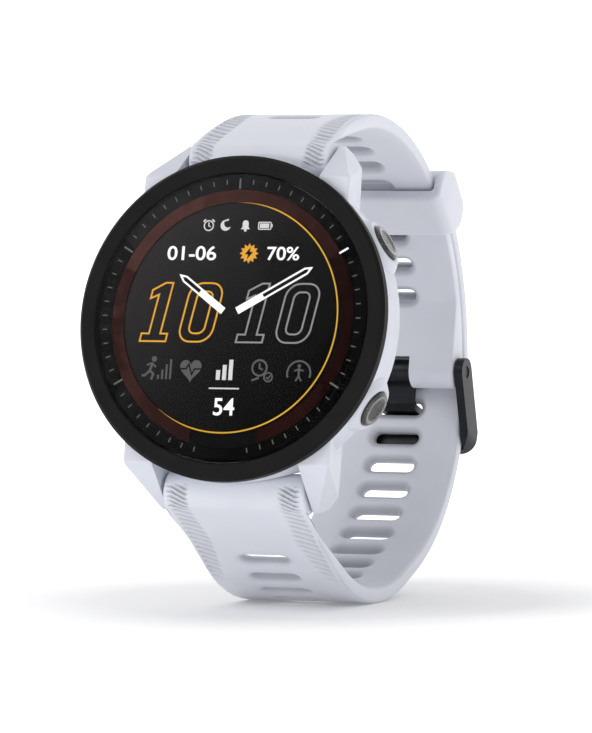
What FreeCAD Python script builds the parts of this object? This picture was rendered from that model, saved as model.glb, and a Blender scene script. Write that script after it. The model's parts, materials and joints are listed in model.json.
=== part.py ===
import FreeCAD, Part
import math
import os

# A running watch with a round head and a buckled two-piece strap, in millimetres and degrees.
# World frame: +X is 3 o'clock, +Z is up, the face looks toward -Y and leans back by FACE_TILT.
# The origin is the centre of the flat sensor window that lies on the wrist.
# The head is drawn upright in its own frame (x to 3 o'clock, y to 12 o'clock, z from the window to the
# face) and then tipped. The strap is drawn as a belt of tangent arcs in the YZ plane.

Vector = FreeCAD.Vector

# Head
HEAD_DIAMETER = 46.5
HEAD_THICKNESS = 14.4
FACE_TILT = 11.0
BEZEL_WIDTH = 2.55
BEZEL_HEIGHT = 2.0
BEZEL_OVERHANG = 0.5
CASE_WALL = 3.15
CASE_TAPER = 2.1
CASE_TAPER_HEIGHT = 5.2
LENS_RECESS = 0.1
LENS_THICKNESS = 0.6
PRINT_THICKNESS = 0.15
GASKET_THICKNESS = 0.25
MINUTE_RING_WIDTH = 2.15
SOLAR_RING_WIDTH = 1.8
REAR_COVER_THICKNESS = 1.4
ISLAND_HEIGHT = 0.7
WINDOW_RADIUS = 7.0
WINDOW_RISE = 0.5
FIT = 0.05
SEAT = 0.1

# Buttons, named by their place round the dial in degrees clockwise from 12 o'clock
BUTTONS = {"start": 60.0, "back": 120.0, "down": 240.0, "up": 270.0, "light": 300.0}
BUTTON_HEIGHT = 8.5
BUTTON_RADIUS = 2.7
BUTTON_PROUD = 1.3
BUTTON_TRAVEL = 0.6
STEM_RADIUS = 0.9

# Lugs and spring bars
LUG_GAP = 22.4
LUG_BEYOND_BAR = 2.6
LUG_ROUNDING = 0.7
LUG_SHOULDER = 20.6
LUG_WIDTH = 4.6
LUG_BACK_WIDTH = 2.4
LUG_TIP_WIDTH = 0.7
LUG_TIP_LENGTH = 6.0
BAR_BEYOND_HEAD = 0.55
BAR_HEIGHT = 5.9
BAR_RADIUS = 0.75
TIP_RADIUS = 0.4
TIP_TRAVEL = 0.95

# Strap belt: outer surfaces of the buckle half, seen from the side
LOOP_RADIUS = 36.25
LOOP_CENTRE_Y = 15.9
LOOP_CENTRE_Z = -4.75
STRAP_THICKNESS = 2.25
STRAP_WIDTH = 20.6
ROOT_WIDTH = 21.6
ROOT_RADIUS = 2.9
STRAP_GAP = 0.15
TOP_JOIN_ANGLE = 52.0
TOP_STRAIGHT = 3.0
PIN_ANGLE = -3.8
PIN_BARREL_RADIUS = 2.55
TAIL_ANGLE = 42.0
LOWER_JOIN_ANGLE = -4.0
LOWER_RADIUS = 33.0
FLAT_ANGLE = -70.0
FLAT_LENGTH = 5.0
BOTTOM_STRAIGHT = 15.5
SLOT_LENGTH = 7.3
SLOT_HEIGHT = 2.0
UPPER_SLOT_FIRST = 15.5
UPPER_SLOT_STEP = 8.4
UPPER_SLOT_COUNT = 11
LOWER_SLOT_FIRST = 6.0
LOWER_SLOT_STEP = 4.9
LOWER_SLOT_COUNT = 15
TAIL_SLOT_COUNT = 5

# Buckle and keeper
PIN_RADIUS = 0.9
ARM_THICKNESS = 1.3
BAR_THICKNESS = 1.5
BAR_LENGTH = 3.4
TANG_WIDTH = 6.0
TANG_THICKNESS = 1.0
TANG_BARREL_RADIUS = 1.8
KEEPER_CLEARANCE = 0.35
KEEPER_INNER_THICKNESS = 2.1
KEEPER_OUTER_THICKNESS = 1.6
KEEPER_SIDE_THICKNESS = 1.4
KEEPER_CENTRE_ANGLE = 41.5

# Inside the head, heights measured from the sensor window's flat
BATTERY_SIZE = (24.0, 20.0, 3.0)
BOARD_RADIUS = 15.3
BOARD_HEIGHT = 7.5
BOARD_THICKNESS = 0.8
CHASSIS_RADIUS = 16.0
CHASSIS_HEIGHT = 9.4
CHASSIS_THICKNESS = 0.6
POST_RADIUS = 1.8
POST_REACH = 17.9
POST_ANGLES = (60.0, 120.0, 240.0, 300.0)
SCREW_RADIUS = 0.7
PORT_REACH = 12.9
PORT_CONTACTS = 4
PORT_PITCH = 1.9

# Worked out from the sizes above
bezel_radius = HEAD_DIAMETER / 2
bar_reach = bezel_radius + BAR_BEYOND_HEAD
lug_reach = bar_reach + LUG_BEYOND_BAR
bezel_inner = bezel_radius - BEZEL_WIDTH
case_radius = bezel_radius - BEZEL_OVERHANG
cavity_radius = case_radius - CASE_WALL
bezel_base = HEAD_THICKNESS - BEZEL_HEIGHT
lens_radius = bezel_inner - SEAT
lens_base = HEAD_THICKNESS - LENS_RECESS - LENS_THICKNESS
ring_base = lens_base - PRINT_THICKNESS
lens_seat = ring_base - GASKET_THICKNESS
minute_inner = lens_radius - MINUTE_RING_WIDTH
solar_outer = minute_inner - FIT
display_radius = solar_outer - SOLAR_RING_WIDTH
lip_radius = cavity_radius - 0.7
cover_top = WINDOW_RISE + ISLAND_HEIGHT + REAR_COVER_THICKNESS
cover_base = cover_top - REAR_COVER_THICKNESS
cover_radius = cavity_radius
rear_ledge = cover_top + 0.3
ledge_top = rear_ledge + 1.2
ledge_inner = cavity_radius - 4.0
pocket_floor = case_radius - 1.45
seal_base = pocket_floor - 0.9
cap_base = pocket_floor + BUTTON_TRAVEL + 0.1
cap_face = case_radius + BUTTON_PROUD
clip_out = cavity_radius - 0.25
clip_in = clip_out - 0.35
stem_end = clip_in - 0.75
switch_face = stem_end - BUTTON_TRAVEL - 0.05
frame_floor = ring_base - 2.3
backlight_base = frame_floor + 0.5
panel_base = backlight_base + 0.6
frame_radius = lip_radius - 0.1


def rect(r0, z0, r1, z1):
    """A ring (or a disc where r0 is 0) with a rectangular section, about the head's axis."""
    outer = Part.makeCylinder(r1, z1 - z0, Vector(0, 0, z0))
    if r0 <= 0:
        return outer
    return outer.cut(Part.makeCylinder(r0, z1 - z0 + 2, Vector(0, 0, z0 - 1)))


def turned(points):
    """A solid of revolution about the head's axis from (radius, height) corners."""
    corners = [Vector(r, 0, z) for r, z in points]
    wire = Part.makePolygon(corners + corners[:1])
    return Part.Face(wire).revolve(Vector(0, 0, 0), Vector(0, 0, 1), 360)


def turned_on_x(points):
    """A solid of revolution about the X axis from (distance, radius) corners."""
    corners = [Vector(x, r, 0) for x, r in points]
    wire = Part.makePolygon(corners + corners[:1])
    return Part.Face(wire).revolve(Vector(0, 0, 0), Vector(1, 0, 0), 360)


def block(x0, y0, z0, x1, y1, z1):
    return Part.makeBox(x1 - x0, y1 - y0, z1 - z0, Vector(x0, y0, z0))


def centred_block(x, y, z0, width, depth, height):
    return Part.makeBox(width, depth, height, Vector(x - width / 2, y - depth / 2, z0))


def fused(shapes):
    whole = shapes[0].fuse(shapes[1:]) if len(shapes) > 1 else shapes[0]
    return whole.removeSplitter()


def bored(shape, tools):
    return shape.cut(tools) if tools else shape


def at_clock(shape, angle):
    """Turns a piece drawn along +X to its place round the dial, at the buttons' height."""
    placed = shape.copy()
    placed.rotate(Vector(0, 0, 0), Vector(0, 0, 1), 90 - angle)
    placed.translate(Vector(0, 0, BUTTON_HEIGHT))
    return placed


def tipped(shape):
    """Takes a piece from the head's own frame to the world frame."""
    placed = shape.copy()
    placed.rotate(Vector(0, 0, 0), Vector(1, 0, 0), 90 - FACE_TILT)
    return placed


def polar(radius, angle):
    return radius * math.cos(math.radians(angle)), radius * math.sin(math.radians(angle))


def around(angles, shape):
    """Copies of a piece drawn along +X, turned about the head's axis to each angle."""
    copies = []
    for angle in angles:
        copy = shape.copy()
        copy.rotate(Vector(0, 0, 0), Vector(0, 0, 1), angle)
        copies.append(copy)
    return copies


# ---------------------------------------------------------------- head shell

def lug(side, end):
    """One lug: a wedge that falls to a tip beside the strap's root, with a flank that leans in."""
    inner = LUG_GAP / 2
    slope = [
        (14.0, bezel_base),
        (LUG_SHOULDER, bezel_base),
        (lug_reach, BAR_HEIGHT - 0.4),
        (lug_reach - 0.9, BAR_HEIGHT - 2.9),
        (20.0, rear_ledge - 0.6),
        (14.0, rear_ledge - 0.6),
    ]
    corners = [Vector(inner, y, z) for y, z in slope]
    wedge = Part.Face(Part.makePolygon(corners + corners[:1])).extrude(Vector(9, 0, 0))
    plan = [(inner, 10.0), (inner + LUG_WIDTH, 10.0), (inner + LUG_WIDTH, 27.5), (inner, 27.5)]
    outline = [Vector(x, y, 0) for x, y in plan]
    column = Part.Face(Part.makePolygon(outline + outline[:1])).extrude(Vector(0, 0, 14))
    body = wedge.common(column)
    shown = [e for e in body.Edges if e.BoundBox.YMin > 13 and e.BoundBox.XMax > inner + 0.3]
    body = body.makeFillet(LUG_ROUNDING, shown)
    wide = (inner + LUG_WIDTH, lug_reach - LUG_TIP_LENGTH)
    narrow = (inner + LUG_TIP_WIDTH, lug_reach)
    step = (narrow[0] - wide[0], narrow[1] - wide[1])
    corner = [(wide[0] - step[0], wide[1] - step[1]), (narrow[0] + step[0], narrow[1] + step[1]),
              (wide[0] + 4.0, narrow[1] + step[1]), (wide[0] + 4.0, wide[1] - step[1])]
    edge = [Vector(x, y, 0) for x, y in corner]
    body = body.cut(Part.Face(Part.makePolygon(edge + edge[:1])).extrude(Vector(0, 0, 14)))
    front = (inner + LUG_WIDTH, bezel_base)
    back = (inner + LUG_BACK_WIDTH, rear_ledge - 0.6)
    rise = (front[0] - back[0], front[1] - back[1])
    flank = [(back[0] - rise[0], back[1] - rise[1]), (front[0] + rise[0], front[1] + rise[1]),
             (front[0] + 9.0, front[1] + rise[1]), (front[0] + 9.0, back[1] - rise[1])]
    edge = [Vector(x, 12.0, z) for x, z in flank]
    body = body.cut(Part.Face(Part.makePolygon(edge + edge[:1])).extrude(Vector(0, 18, 0)))
    if side < 0:
        body = body.mirror(Vector(0, 0, 0), Vector(1, 0, 0))
    if end < 0:
        body = body.mirror(Vector(0, 0, 0), Vector(0, 1, 0))
    return body


def bar_tool(radius, half_length, end):
    """A rod along X on a spring bar's axis, in the head's frame."""
    start = Vector(-half_length, end * bar_reach, BAR_HEIGHT)
    return Part.makeCylinder(radius, 2 * half_length, start, Vector(1, 0, 0))


def case_body():
    shell = turned([
        (ledge_inner, rear_ledge),
        (cover_radius + SEAT, rear_ledge),
        (cover_radius + SEAT, rear_ledge - 1.2),
        (case_radius - CASE_TAPER, rear_ledge - 1.2),
        (case_radius, rear_ledge - 1.2 + CASE_TAPER_HEIGHT),
        (case_radius, bezel_base),
        (lens_radius, bezel_base),
        (lens_radius, lens_seat),
        (lip_radius, lens_seat),
        (lip_radius, lens_seat - 0.55),
        (cavity_radius, lens_seat - 0.55),
        (cavity_radius, ledge_top),
        (ledge_inner, ledge_top),
    ])
    collar = turned_on_x([
        (cavity_radius + 0.6, 0),
        (cavity_radius + 0.6, BUTTON_RADIUS + 2.2),
        (case_radius - 0.3, BUTTON_RADIUS + 1.6),
        (case_radius + 0.7, BUTTON_RADIUS + 0.75),
        (case_radius + 0.7, 0),
    ])
    collars = [at_clock(collar, angle) for angle in BUTTONS.values()]
    posts = around(POST_ANGLES, Part.makeCylinder(
        POST_RADIUS, CHASSIS_HEIGHT - ledge_top + 0.5, Vector(POST_REACH, 0, ledge_top - 0.5)))
    inside = Part.makeCylinder(cavity_radius + 0.2, bezel_base)
    lugs = [lug(side, end).cut(inside) for side in (-1, 1) for end in (-1, 1)]
    collars = [c.common(Part.makeCylinder(40, bezel_base - 0.02)) for c in collars]
    posts = [p.common(Part.makeCylinder(cavity_radius + 1, 14)) for p in posts]
    whole = fused([shell] + collars + posts + lugs)

    tools = []
    for end in (-1, 1):
        tools.append(bar_tool(ROOT_RADIUS + 0.25, LUG_GAP / 2, end))
        tools.append(bar_tool(TIP_RADIUS + FIT, LUG_GAP / 2 + 1.1, end))
    pocket = turned_on_x([
        (cavity_radius - 1, 0),
        (cavity_radius - 1, STEM_RADIUS + 0.06),
        (seal_base, STEM_RADIUS + 0.06),
        (seal_base, STEM_RADIUS + 0.6),
        (pocket_floor, STEM_RADIUS + 0.6),
        (pocket_floor, BUTTON_RADIUS + 0.08),
        (bezel_radius + 3, BUTTON_RADIUS + 0.08),
        (bezel_radius + 3, 0),
    ])
    tools += [at_clock(pocket, angle) for angle in BUTTONS.values()]
    screw_hole = Part.makeCylinder(SCREW_RADIUS + 0.01, 4.0, Vector(POST_REACH, 0, rear_ledge - 0.5))
    tools += around(POST_ANGLES, screw_hole)
    return bored(whole, tools)


def button():
    """Cap and stem in one piece, along +X, with the groove that its clip sits in."""
    return turned_on_x([
        (stem_end, 0),
        (stem_end, STEM_RADIUS),
        (clip_in, STEM_RADIUS),
        (clip_in, STEM_RADIUS - 0.25),
        (clip_out, STEM_RADIUS - 0.25),
        (clip_out, STEM_RADIUS),
        (cap_base, STEM_RADIUS),
        (cap_base, BUTTON_RADIUS),
        (cap_face - 0.3, BUTTON_RADIUS),
        (cap_face, BUTTON_RADIUS - 0.35),
        (cap_face, BUTTON_RADIUS - 0.8),
        (cap_face - 0.12, BUTTON_RADIUS - 0.95),
        (cap_face - 0.12, 0),
    ])


def button_clip():
    """Open ring that keeps a button from being pulled out."""
    ring = turned_on_x([
        (clip_in + 0.02, STEM_RADIUS - 0.22),
        (clip_in + 0.02, STEM_RADIUS + 0.45),
        (clip_out - 0.02, STEM_RADIUS + 0.45),
        (clip_out - 0.02, STEM_RADIUS - 0.22),
    ])
    return ring.cut(block(clip_in - 1, -0.45, 0, clip_out + 1, 0.45, 3))


def button_seal():
    middle = (pocket_floor + seal_base) / 2
    return Part.makeTorus(STEM_RADIUS + 0.31, 0.25, Vector(middle, 0, 0), Vector(1, 0, 0))


def side_switch():
    return block(switch_face - 1.6, -1.5, -0.7, switch_face, 1.5, 0.7)


def bezel():
    return turned([
        (bezel_inner, bezel_base),
        (bezel_radius - 0.25, bezel_base),
        (bezel_radius, bezel_base + 0.3),
        (bezel_radius, HEAD_THICKNESS - 0.45),
        (bezel_radius - 0.45, HEAD_THICKNESS),
        (bezel_inner + 0.25, HEAD_THICKNESS),
        (bezel_inner, HEAD_THICKNESS - 0.25),
    ])


def rear_cover():
    plate = turned([
        (WINDOW_RADIUS + FIT, WINDOW_RISE),
        (WINDOW_RADIUS + 3.4, WINDOW_RISE),
        (WINDOW_RADIUS + 4.1, cover_base),
        (cover_radius - 0.7, cover_base),
        (cover_radius, cover_base + 0.7),
        (cover_radius, cover_top),
        (WINDOW_RADIUS - 0.7, cover_top),
        (WINDOW_RADIUS - 0.7, WINDOW_RISE + 0.8),
        (WINDOW_RADIUS + FIT, WINDOW_RISE + 0.8),
    ])
    port_width = PORT_PITCH * PORT_CONTACTS
    boss = centred_block(0, -PORT_REACH, cover_top - 0.2, port_width + 1.6, 3.6, 1.8)
    socket = centred_block(0, -PORT_REACH, cover_base - 0.5, port_width, 2.6, 2.5)
    tools = [socket]
    for x in contact_places():
        tools.append(Part.makeCylinder(0.62, 6, Vector(x, -PORT_REACH, cover_base)))
    tools += around(POST_ANGLES, Part.makeCylinder(1.25, 0.8, Vector(POST_REACH, 0, cover_base)))
    tools += around(POST_ANGLES, Part.makeCylinder(SCREW_RADIUS + 0.05, 4, Vector(POST_REACH, 0, cover_base)))
    return bored(fused([plate, boss]), tools)


def contact_places():
    first = -PORT_PITCH * (PORT_CONTACTS - 1) / 2
    return [first + PORT_PITCH * i for i in range(PORT_CONTACTS)]


def charge_contacts():
    pins = [Part.makeCylinder(0.6, 3.2, Vector(x, -PORT_REACH, cover_base + 0.7)) for x in contact_places()]
    return Part.makeCompound(pins)


def rear_screws():
    head = Part.makeCylinder(1.18, 0.7, Vector(POST_REACH, 0, cover_base + 0.1))
    shank = Part.makeCylinder(SCREW_RADIUS, 4.2, Vector(POST_REACH, 0, cover_base + 0.6))
    recess = Part.makeCylinder(0.55, 0.45, Vector(POST_REACH, 0, cover_base + 0.1))
    screw = fused([head, shank]).cut(recess)
    return Part.makeCompound(around(POST_ANGLES, screw))


def sensor_window():
    return turned([
        (0, 0),
        (WINDOW_RADIUS - 1.4, 0),
        (WINDOW_RADIUS, WINDOW_RISE),
        (WINDOW_RADIUS, WINDOW_RISE + 0.8),
        (0, WINDOW_RISE + 0.8),
    ])


def sensor_leds():
    lights = [centred_block(0, 0, cover_top - 0.75, 2.4, 2.4, 0.8)]
    lights += around((45, 135, 225, 315), centred_block(4.2, 0, cover_top - 0.75, 1.5, 1.5, 0.8))
    return Part.makeCompound(lights)


# ---------------------------------------------------------------- inside the head

def display_frame():
    return turned([
        (display_radius - 0.5, frame_floor),
        (frame_radius, frame_floor),
        (frame_radius, panel_base + 1.0),
        (frame_radius - 0.3, panel_base + 1.0),
        (frame_radius - 0.3, backlight_base),
        (display_radius - 0.5, backlight_base),
    ])


def chassis_plate():
    """Plate under the display, with an ear on each post and a folded tab behind each switch."""
    plate = rect(0, CHASSIS_HEIGHT, CHASSIS_RADIUS, CHASSIS_HEIGHT + CHASSIS_THICKNESS)
    top = CHASSIS_HEIGHT + CHASSIS_THICKNESS
    ears = around(POST_ANGLES, block(CHASSIS_RADIUS - 2, -2, CHASSIS_HEIGHT, cavity_radius - 0.4, 2, top))
    tab_face = switch_face - 1.6
    tab = block(tab_face - 0.5, -1.7, -0.9, tab_face, 1.7, CHASSIS_HEIGHT + 0.3 - BUTTON_HEIGHT)
    tabs = [at_clock(tab, angle) for angle in BUTTONS.values()]
    windows = [centred_block(x, 0, CHASSIS_HEIGHT - 1, 5, 9, 3) for x in (-7, 7)]
    return bored(fused([plate] + ears + tabs), windows)


def main_board():
    board = rect(0, BOARD_HEIGHT, BOARD_RADIUS - 0.3, BOARD_HEIGHT + BOARD_THICKNESS)
    notch = Part.makeCylinder(1.6, 3, Vector(BOARD_RADIUS - 0.3, 0, BOARD_HEIGHT - 1))
    return bored(board, around((90, 270), notch))


def shield_cans():
    base = BOARD_HEIGHT + BOARD_THICKNESS
    cans = [
        centred_block(-5.5, 4.6, base, 9, 8, 0.9),
        centred_block(5.6, 4.6, base, 8, 8, 0.9),
        centred_block(0, -6.4, base, 13, 7, 0.9),
    ]
    return Part.makeCompound(cans)


def battery():
    width, depth, height = BATTERY_SIZE
    cell = centred_block(0, 0, ledge_top + 0.1, width, depth, height)
    upright = [e for e in cell.Edges if abs(e.BoundBox.ZLength - height) < 1e-6 and e.BoundBox.XLength < 1e-6]
    return cell.makeFillet(2.0, upright)


def gps_antenna():
    """Open metal band round the display, high in the case."""
    band = rect(cavity_radius - 0.5, frame_floor + 0.2, cavity_radius - 0.1, lens_seat - 0.75)
    gap = block(-3, -cavity_radius - 1, 0, 3, -cavity_radius + 4, 14)
    return band.cut(gap)


# ---------------------------------------------------------------- spring bars

def bar_sleeve(end):
    """Tube with rolled-in ends that the two spring-loaded tips slide in."""
    half = LUG_GAP / 2 - 0.8
    tube = bar_tool(BAR_RADIUS, half, end)
    bore = bar_tool(BAR_RADIUS - 0.25, half - 0.4, end)
    mouth = bar_tool(TIP_RADIUS + 0.03, half + 1, end)
    return tube.cut(bore).cut(mouth)


def bar_tip(side, end):
    start = LUG_GAP / 2 - 2.0
    stop = LUG_GAP / 2 + TIP_TRAVEL - 0.05
    tip = turned_on_x([
        (start, 0),
        (start, TIP_RADIUS + 0.06),
        (start + 0.4, TIP_RADIUS + 0.06),
        (start + 0.4, TIP_RADIUS),
        (stop - 0.1, TIP_RADIUS),
        (stop, TIP_RADIUS - 0.1),
        (stop, 0),
    ])
    if side < 0:
        tip = tip.mirror(Vector(0, 0, 0), Vector(1, 0, 0))
    tip.translate(Vector(0, end * bar_reach, BAR_HEIGHT))
    return tip


def bar_spring(end):
    """Coil spring between the two tips of a bar, as a helix of round wire."""
    length = LUG_GAP - 4.6
    coil_radius = BAR_RADIUS - 0.38
    wire_radius = 0.08
    helix = Part.makeHelix(length / 9, length, coil_radius)
    profile = Part.Wire([Part.makeCircle(wire_radius, Vector(coil_radius, 0, 0), Vector(0, 1, 0))])
    spring = Part.Wire(helix.Edges).makePipeShell([profile], True, True)
    spring.rotate(Vector(0, 0, 0), Vector(0, 1, 0), 90)
    spring.translate(Vector(-length / 2, end * bar_reach, BAR_HEIGHT))
    return spring


# ---------------------------------------------------------------- strap

def plus(p, q):
    return p[0] + q[0], p[1] + q[1]


def minus(p, q):
    return p[0] - q[0], p[1] - q[1]


def dot(p, q):
    return p[0] * q[0] + p[1] * q[1]


def bar_centre(end):
    """A spring bar's axis in the YZ plane of the world."""
    tilt = math.radians(FACE_TILT)
    y = end * bar_reach * math.sin(tilt) - BAR_HEIGHT * math.cos(tilt)
    z = end * bar_reach * math.cos(tilt) + BAR_HEIGHT * math.sin(tilt)
    return y, z


def tangent_normal(bar, bar_r, centre, radius, side):
    """Direction, in degrees, of the outward normal of a line that touches two circles."""
    away = minus(centre, bar)
    spread = math.degrees(math.acos((bar_r - radius) / math.hypot(*away)))
    return math.degrees(math.atan2(away[1], away[0])) + side * spread


def arc(centre, radius, start, stop):
    return {"kind": "arc", "centre": centre, "radius": radius, "start": start, "stop": stop}


def line(start, normal, length):
    """A straight stretch; start is on the outer surface and it runs clockwise round the loop."""
    return {"kind": "line", "start": start, "normal": normal, "length": length}


def clockwise(normal):
    return polar(1, normal - 90)


def place_on(segment, share, inward=0.0):
    """Point at a share of a segment, set inward from the outer surface, and its normal angle."""
    if segment["kind"] == "arc":
        angle = segment["start"] + share * (segment["stop"] - segment["start"])
        return plus(segment["centre"], polar(segment["radius"] - inward, angle)), angle
    along = clockwise(segment["normal"])
    out = polar(1, segment["normal"])
    run = segment["length"] * share
    start = segment["start"]
    point = (start[0] + along[0] * run - out[0] * inward, start[1] + along[1] * run - out[1] * inward)
    return point, segment["normal"]


def segment_length(segment):
    if segment["kind"] == "line":
        return segment["length"]
    return math.radians(abs(segment["start"] - segment["stop"])) * segment["radius"]


def on_path(path, distance, inward=0.0):
    for segment in path:
        length = segment_length(segment)
        if distance <= length:
            return place_on(segment, distance / length, inward)
        distance -= length
    return place_on(path[-1], 1.0, inward)


def in_plane(point, x=0.0):
    return Vector(x, point[0], point[1])


def edge_of(segment, inward):
    first = in_plane(place_on(segment, 0, inward)[0])
    last = in_plane(place_on(segment, 1, inward)[0])
    if segment["kind"] == "line":
        return Part.makeLine(first, last)
    middle = in_plane(place_on(segment, 0.5, inward)[0])
    return Part.Arc(first, middle, last).toShape()


def across(face, half_width):
    """A face in the YZ plane made into a solid that is centred on it."""
    solid = face.extrude(Vector(2 * half_width, 0, 0))
    solid.translate(Vector(-half_width, 0, 0))
    return solid


def belt(path, outer_inset, inner_inset, half_width):
    """Strip of even thickness along a path."""
    outer = [edge_of(segment, outer_inset) for segment in path]
    inner = [edge_of(segment, inner_inset) for segment in path]
    insets = (outer_inset, inner_inset)
    first = Part.makeLine(*[in_plane(place_on(path[0], 0, inset)[0]) for inset in insets])
    last = Part.makeLine(*[in_plane(place_on(path[-1], 1, inset)[0]) for inset in insets])
    edges = Part.sortEdges(outer + [last] + inner + [first])[0]
    return across(Part.Face(Part.Wire(edges)), half_width)


def plate_of(points, half_width):
    corners = [in_plane(p) for p in points]
    return across(Part.Face(Part.makePolygon(corners + corners[:1])), half_width)


def rod(point, radius, half_length):
    return Part.makeCylinder(radius, 2 * half_length, in_plane(point, -half_length), Vector(1, 0, 0))


def touch_point(outside, centre, radius, side):
    """Where a line from a point outside a circle touches it."""
    away = minus(outside, centre)
    spread = math.degrees(math.acos(radius / math.hypot(*away)))
    angle = math.degrees(math.atan2(away[1], away[0])) + side * spread
    return plus(centre, polar(radius, angle))


loop_centre = (LOOP_CENTRE_Y, LOOP_CENTRE_Z)
pin_centre = plus(loop_centre, polar(LOOP_RADIUS - PIN_BARREL_RADIUS, PIN_ANGLE))
tail_radius = LOOP_RADIUS + STRAP_GAP + STRAP_THICKNESS


def upper_path():
    """Outer surface of the buckle half, from the upper bar to the buckle pin."""
    bar = bar_centre(1)
    join = polar(1, TOP_JOIN_ANGLE)
    apart = minus(loop_centre, bar)
    reach = LOOP_RADIUS - ROOT_RADIUS
    step = (reach ** 2 + TOP_STRAIGHT ** 2 - dot(apart, apart)) / (2 * (dot(join, apart) + reach))
    top_radius = LOOP_RADIUS - step
    top_centre = plus(loop_centre, polar(step, TOP_JOIN_ANGLE))
    normal = tangent_normal(bar, ROOT_RADIUS, top_centre, top_radius, 1)
    return [
        line(plus(bar, polar(ROOT_RADIUS, normal)), normal, TOP_STRAIGHT),
        arc(top_centre, top_radius, normal, TOP_JOIN_ANGLE),
        arc(loop_centre, LOOP_RADIUS, TOP_JOIN_ANGLE, PIN_ANGLE),
    ]


def lower_path():
    """Outer surface of the tail half, from its tip under the keeper to the lower bar."""
    bar = bar_centre(-1)
    side_centre = plus(loop_centre, polar(tail_radius - LOWER_RADIUS, LOWER_JOIN_ANGLE))
    flat_start = plus(side_centre, polar(LOWER_RADIUS, FLAT_ANGLE))
    along = clockwise(FLAT_ANGLE)
    flat_end = (flat_start[0] + along[0] * FLAT_LENGTH, flat_start[1] + along[1] * FLAT_LENGTH)
    out = polar(1, FLAT_ANGLE)
    apart = minus(flat_end, bar)
    reach = dot(apart, apart) - ROOT_RADIUS ** 2 - BOTTOM_STRAIGHT ** 2
    bottom_radius = reach / (2 * (dot(apart, out) - ROOT_RADIUS))
    bottom_centre = (flat_end[0] - out[0] * bottom_radius, flat_end[1] - out[1] * bottom_radius)
    normal = tangent_normal(bar, ROOT_RADIUS, bottom_centre, bottom_radius, -1)
    return [
        arc(loop_centre, tail_radius, TAIL_ANGLE, LOWER_JOIN_ANGLE),
        arc(side_centre, LOWER_RADIUS, LOWER_JOIN_ANGLE, FLAT_ANGLE),
        line(flat_start, FLAT_ANGLE, FLAT_LENGTH),
        arc(bottom_centre, bottom_radius, FLAT_ANGLE, normal),
        line(plus(bottom_centre, polar(bottom_radius, normal)), normal, BOTTOM_STRAIGHT),
    ]


def slot_tool(point, angle):
    """Cutter for one adjustment slot: a rounded slot that passes right through the strap."""
    straight = SLOT_LENGTH - SLOT_HEIGHT
    cutter = block(-straight / 2, -4, -SLOT_HEIGHT / 2, straight / 2, 4, SLOT_HEIGHT / 2)
    ends = [
        Part.makeCylinder(SLOT_HEIGHT / 2, 8, Vector(x, -4, 0), Vector(0, 1, 0))
        for x in (-straight / 2, straight / 2)
    ]
    tool = fused([cutter] + ends)
    tool.rotate(Vector(0, 0, 0), Vector(1, 0, 0), angle)
    tool.translate(in_plane(point))
    return tool


def strap_root(bar, straight, blend, side):
    """Thick root round a spring bar, drawn to the strap's outer line and blended into its inside."""
    outer_start = place_on(straight, 0)[0]
    outer_end = place_on(straight, 1)[0]
    near = outer_start if side > 0 else outer_end
    far = outer_end if side > 0 else outer_start
    touch = touch_point(blend, bar, ROOT_RADIUS, side)
    wedge = plate_of([near, far, blend, touch, bar], ROOT_WIDTH / 2)
    return [rod(bar, ROOT_RADIUS, ROOT_WIDTH / 2), wedge]


def strap_upper():
    path = upper_path()
    half = STRAP_WIDTH / 2
    strip = belt(path, 0, STRAP_THICKNESS, half)
    blend = place_on(path[1], 0.25, STRAP_THICKNESS)[0]
    root = strap_root(bar_centre(1), path[0], blend, 1)
    barrel = rod(pin_centre, PIN_BARREL_RADIUS, half)
    thick_start = plus(loop_centre, polar(LOOP_RADIUS - STRAP_THICKNESS, PIN_ANGLE + 18))
    inner_touch = touch_point(thick_start, pin_centre, PIN_BARREL_RADIUS, 1)
    outer_touch = plus(loop_centre, polar(LOOP_RADIUS - 0.05, PIN_ANGLE + 0.2))
    outer_start = plus(loop_centre, polar(LOOP_RADIUS - 1.2, PIN_ANGLE + 18))
    swell = plate_of([thick_start, inner_touch, pin_centre, outer_touch, outer_start], half)
    swell = swell.common(rod(loop_centre, LOOP_RADIUS, half))
    whole = fused([strip, barrel, swell] + root)
    tools = [
        rod(bar_centre(1), BAR_RADIUS + FIT, ROOT_WIDTH),
        rod(pin_centre, PIN_RADIUS + 0.1, ROOT_WIDTH),
    ]
    notch = rod(pin_centre, TANG_BARREL_RADIUS + 1.4, TANG_WIDTH / 2 + 0.35)
    tools.append(notch)
    for i in range(UPPER_SLOT_COUNT):
        angle = UPPER_SLOT_FIRST + i * UPPER_SLOT_STEP
        tools.append(slot_tool(plus(loop_centre, polar(LOOP_RADIUS - STRAP_THICKNESS / 2, angle)), angle))
    return bored(whole, tools)


def tang_slot_distance():
    """Distance along the tail half's outer surface from its tip to the slot that takes the tang."""
    path = lower_path()
    turned_by = math.radians(TAIL_ANGLE - LOWER_JOIN_ANGLE)
    past_join = math.radians(LOWER_JOIN_ANGLE - PIN_ANGLE) * path[1]["radius"]
    return turned_by * path[0]["radius"] + past_join + LOWER_SLOT_FIRST


def strap_lower():
    path = lower_path()
    strip = belt(path, 0, STRAP_THICKNESS, STRAP_WIDTH / 2)
    blend = place_on(path[3], 0.9, STRAP_THICKNESS)[0]
    root = strap_root(bar_centre(-1), path[4], blend, -1)
    whole = fused([strip] + root)
    tools = [rod(bar_centre(-1), BAR_RADIUS + FIT, ROOT_WIDTH)]
    for i in range(-TAIL_SLOT_COUNT, LOWER_SLOT_COUNT):
        point, angle = on_path(path, tang_slot_distance() + i * LOWER_SLOT_STEP, STRAP_THICKNESS / 2)
        tools.append(slot_tool(point, angle))
    return bored(whole, tools)


# ---------------------------------------------------------------- keeper and buckle

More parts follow.
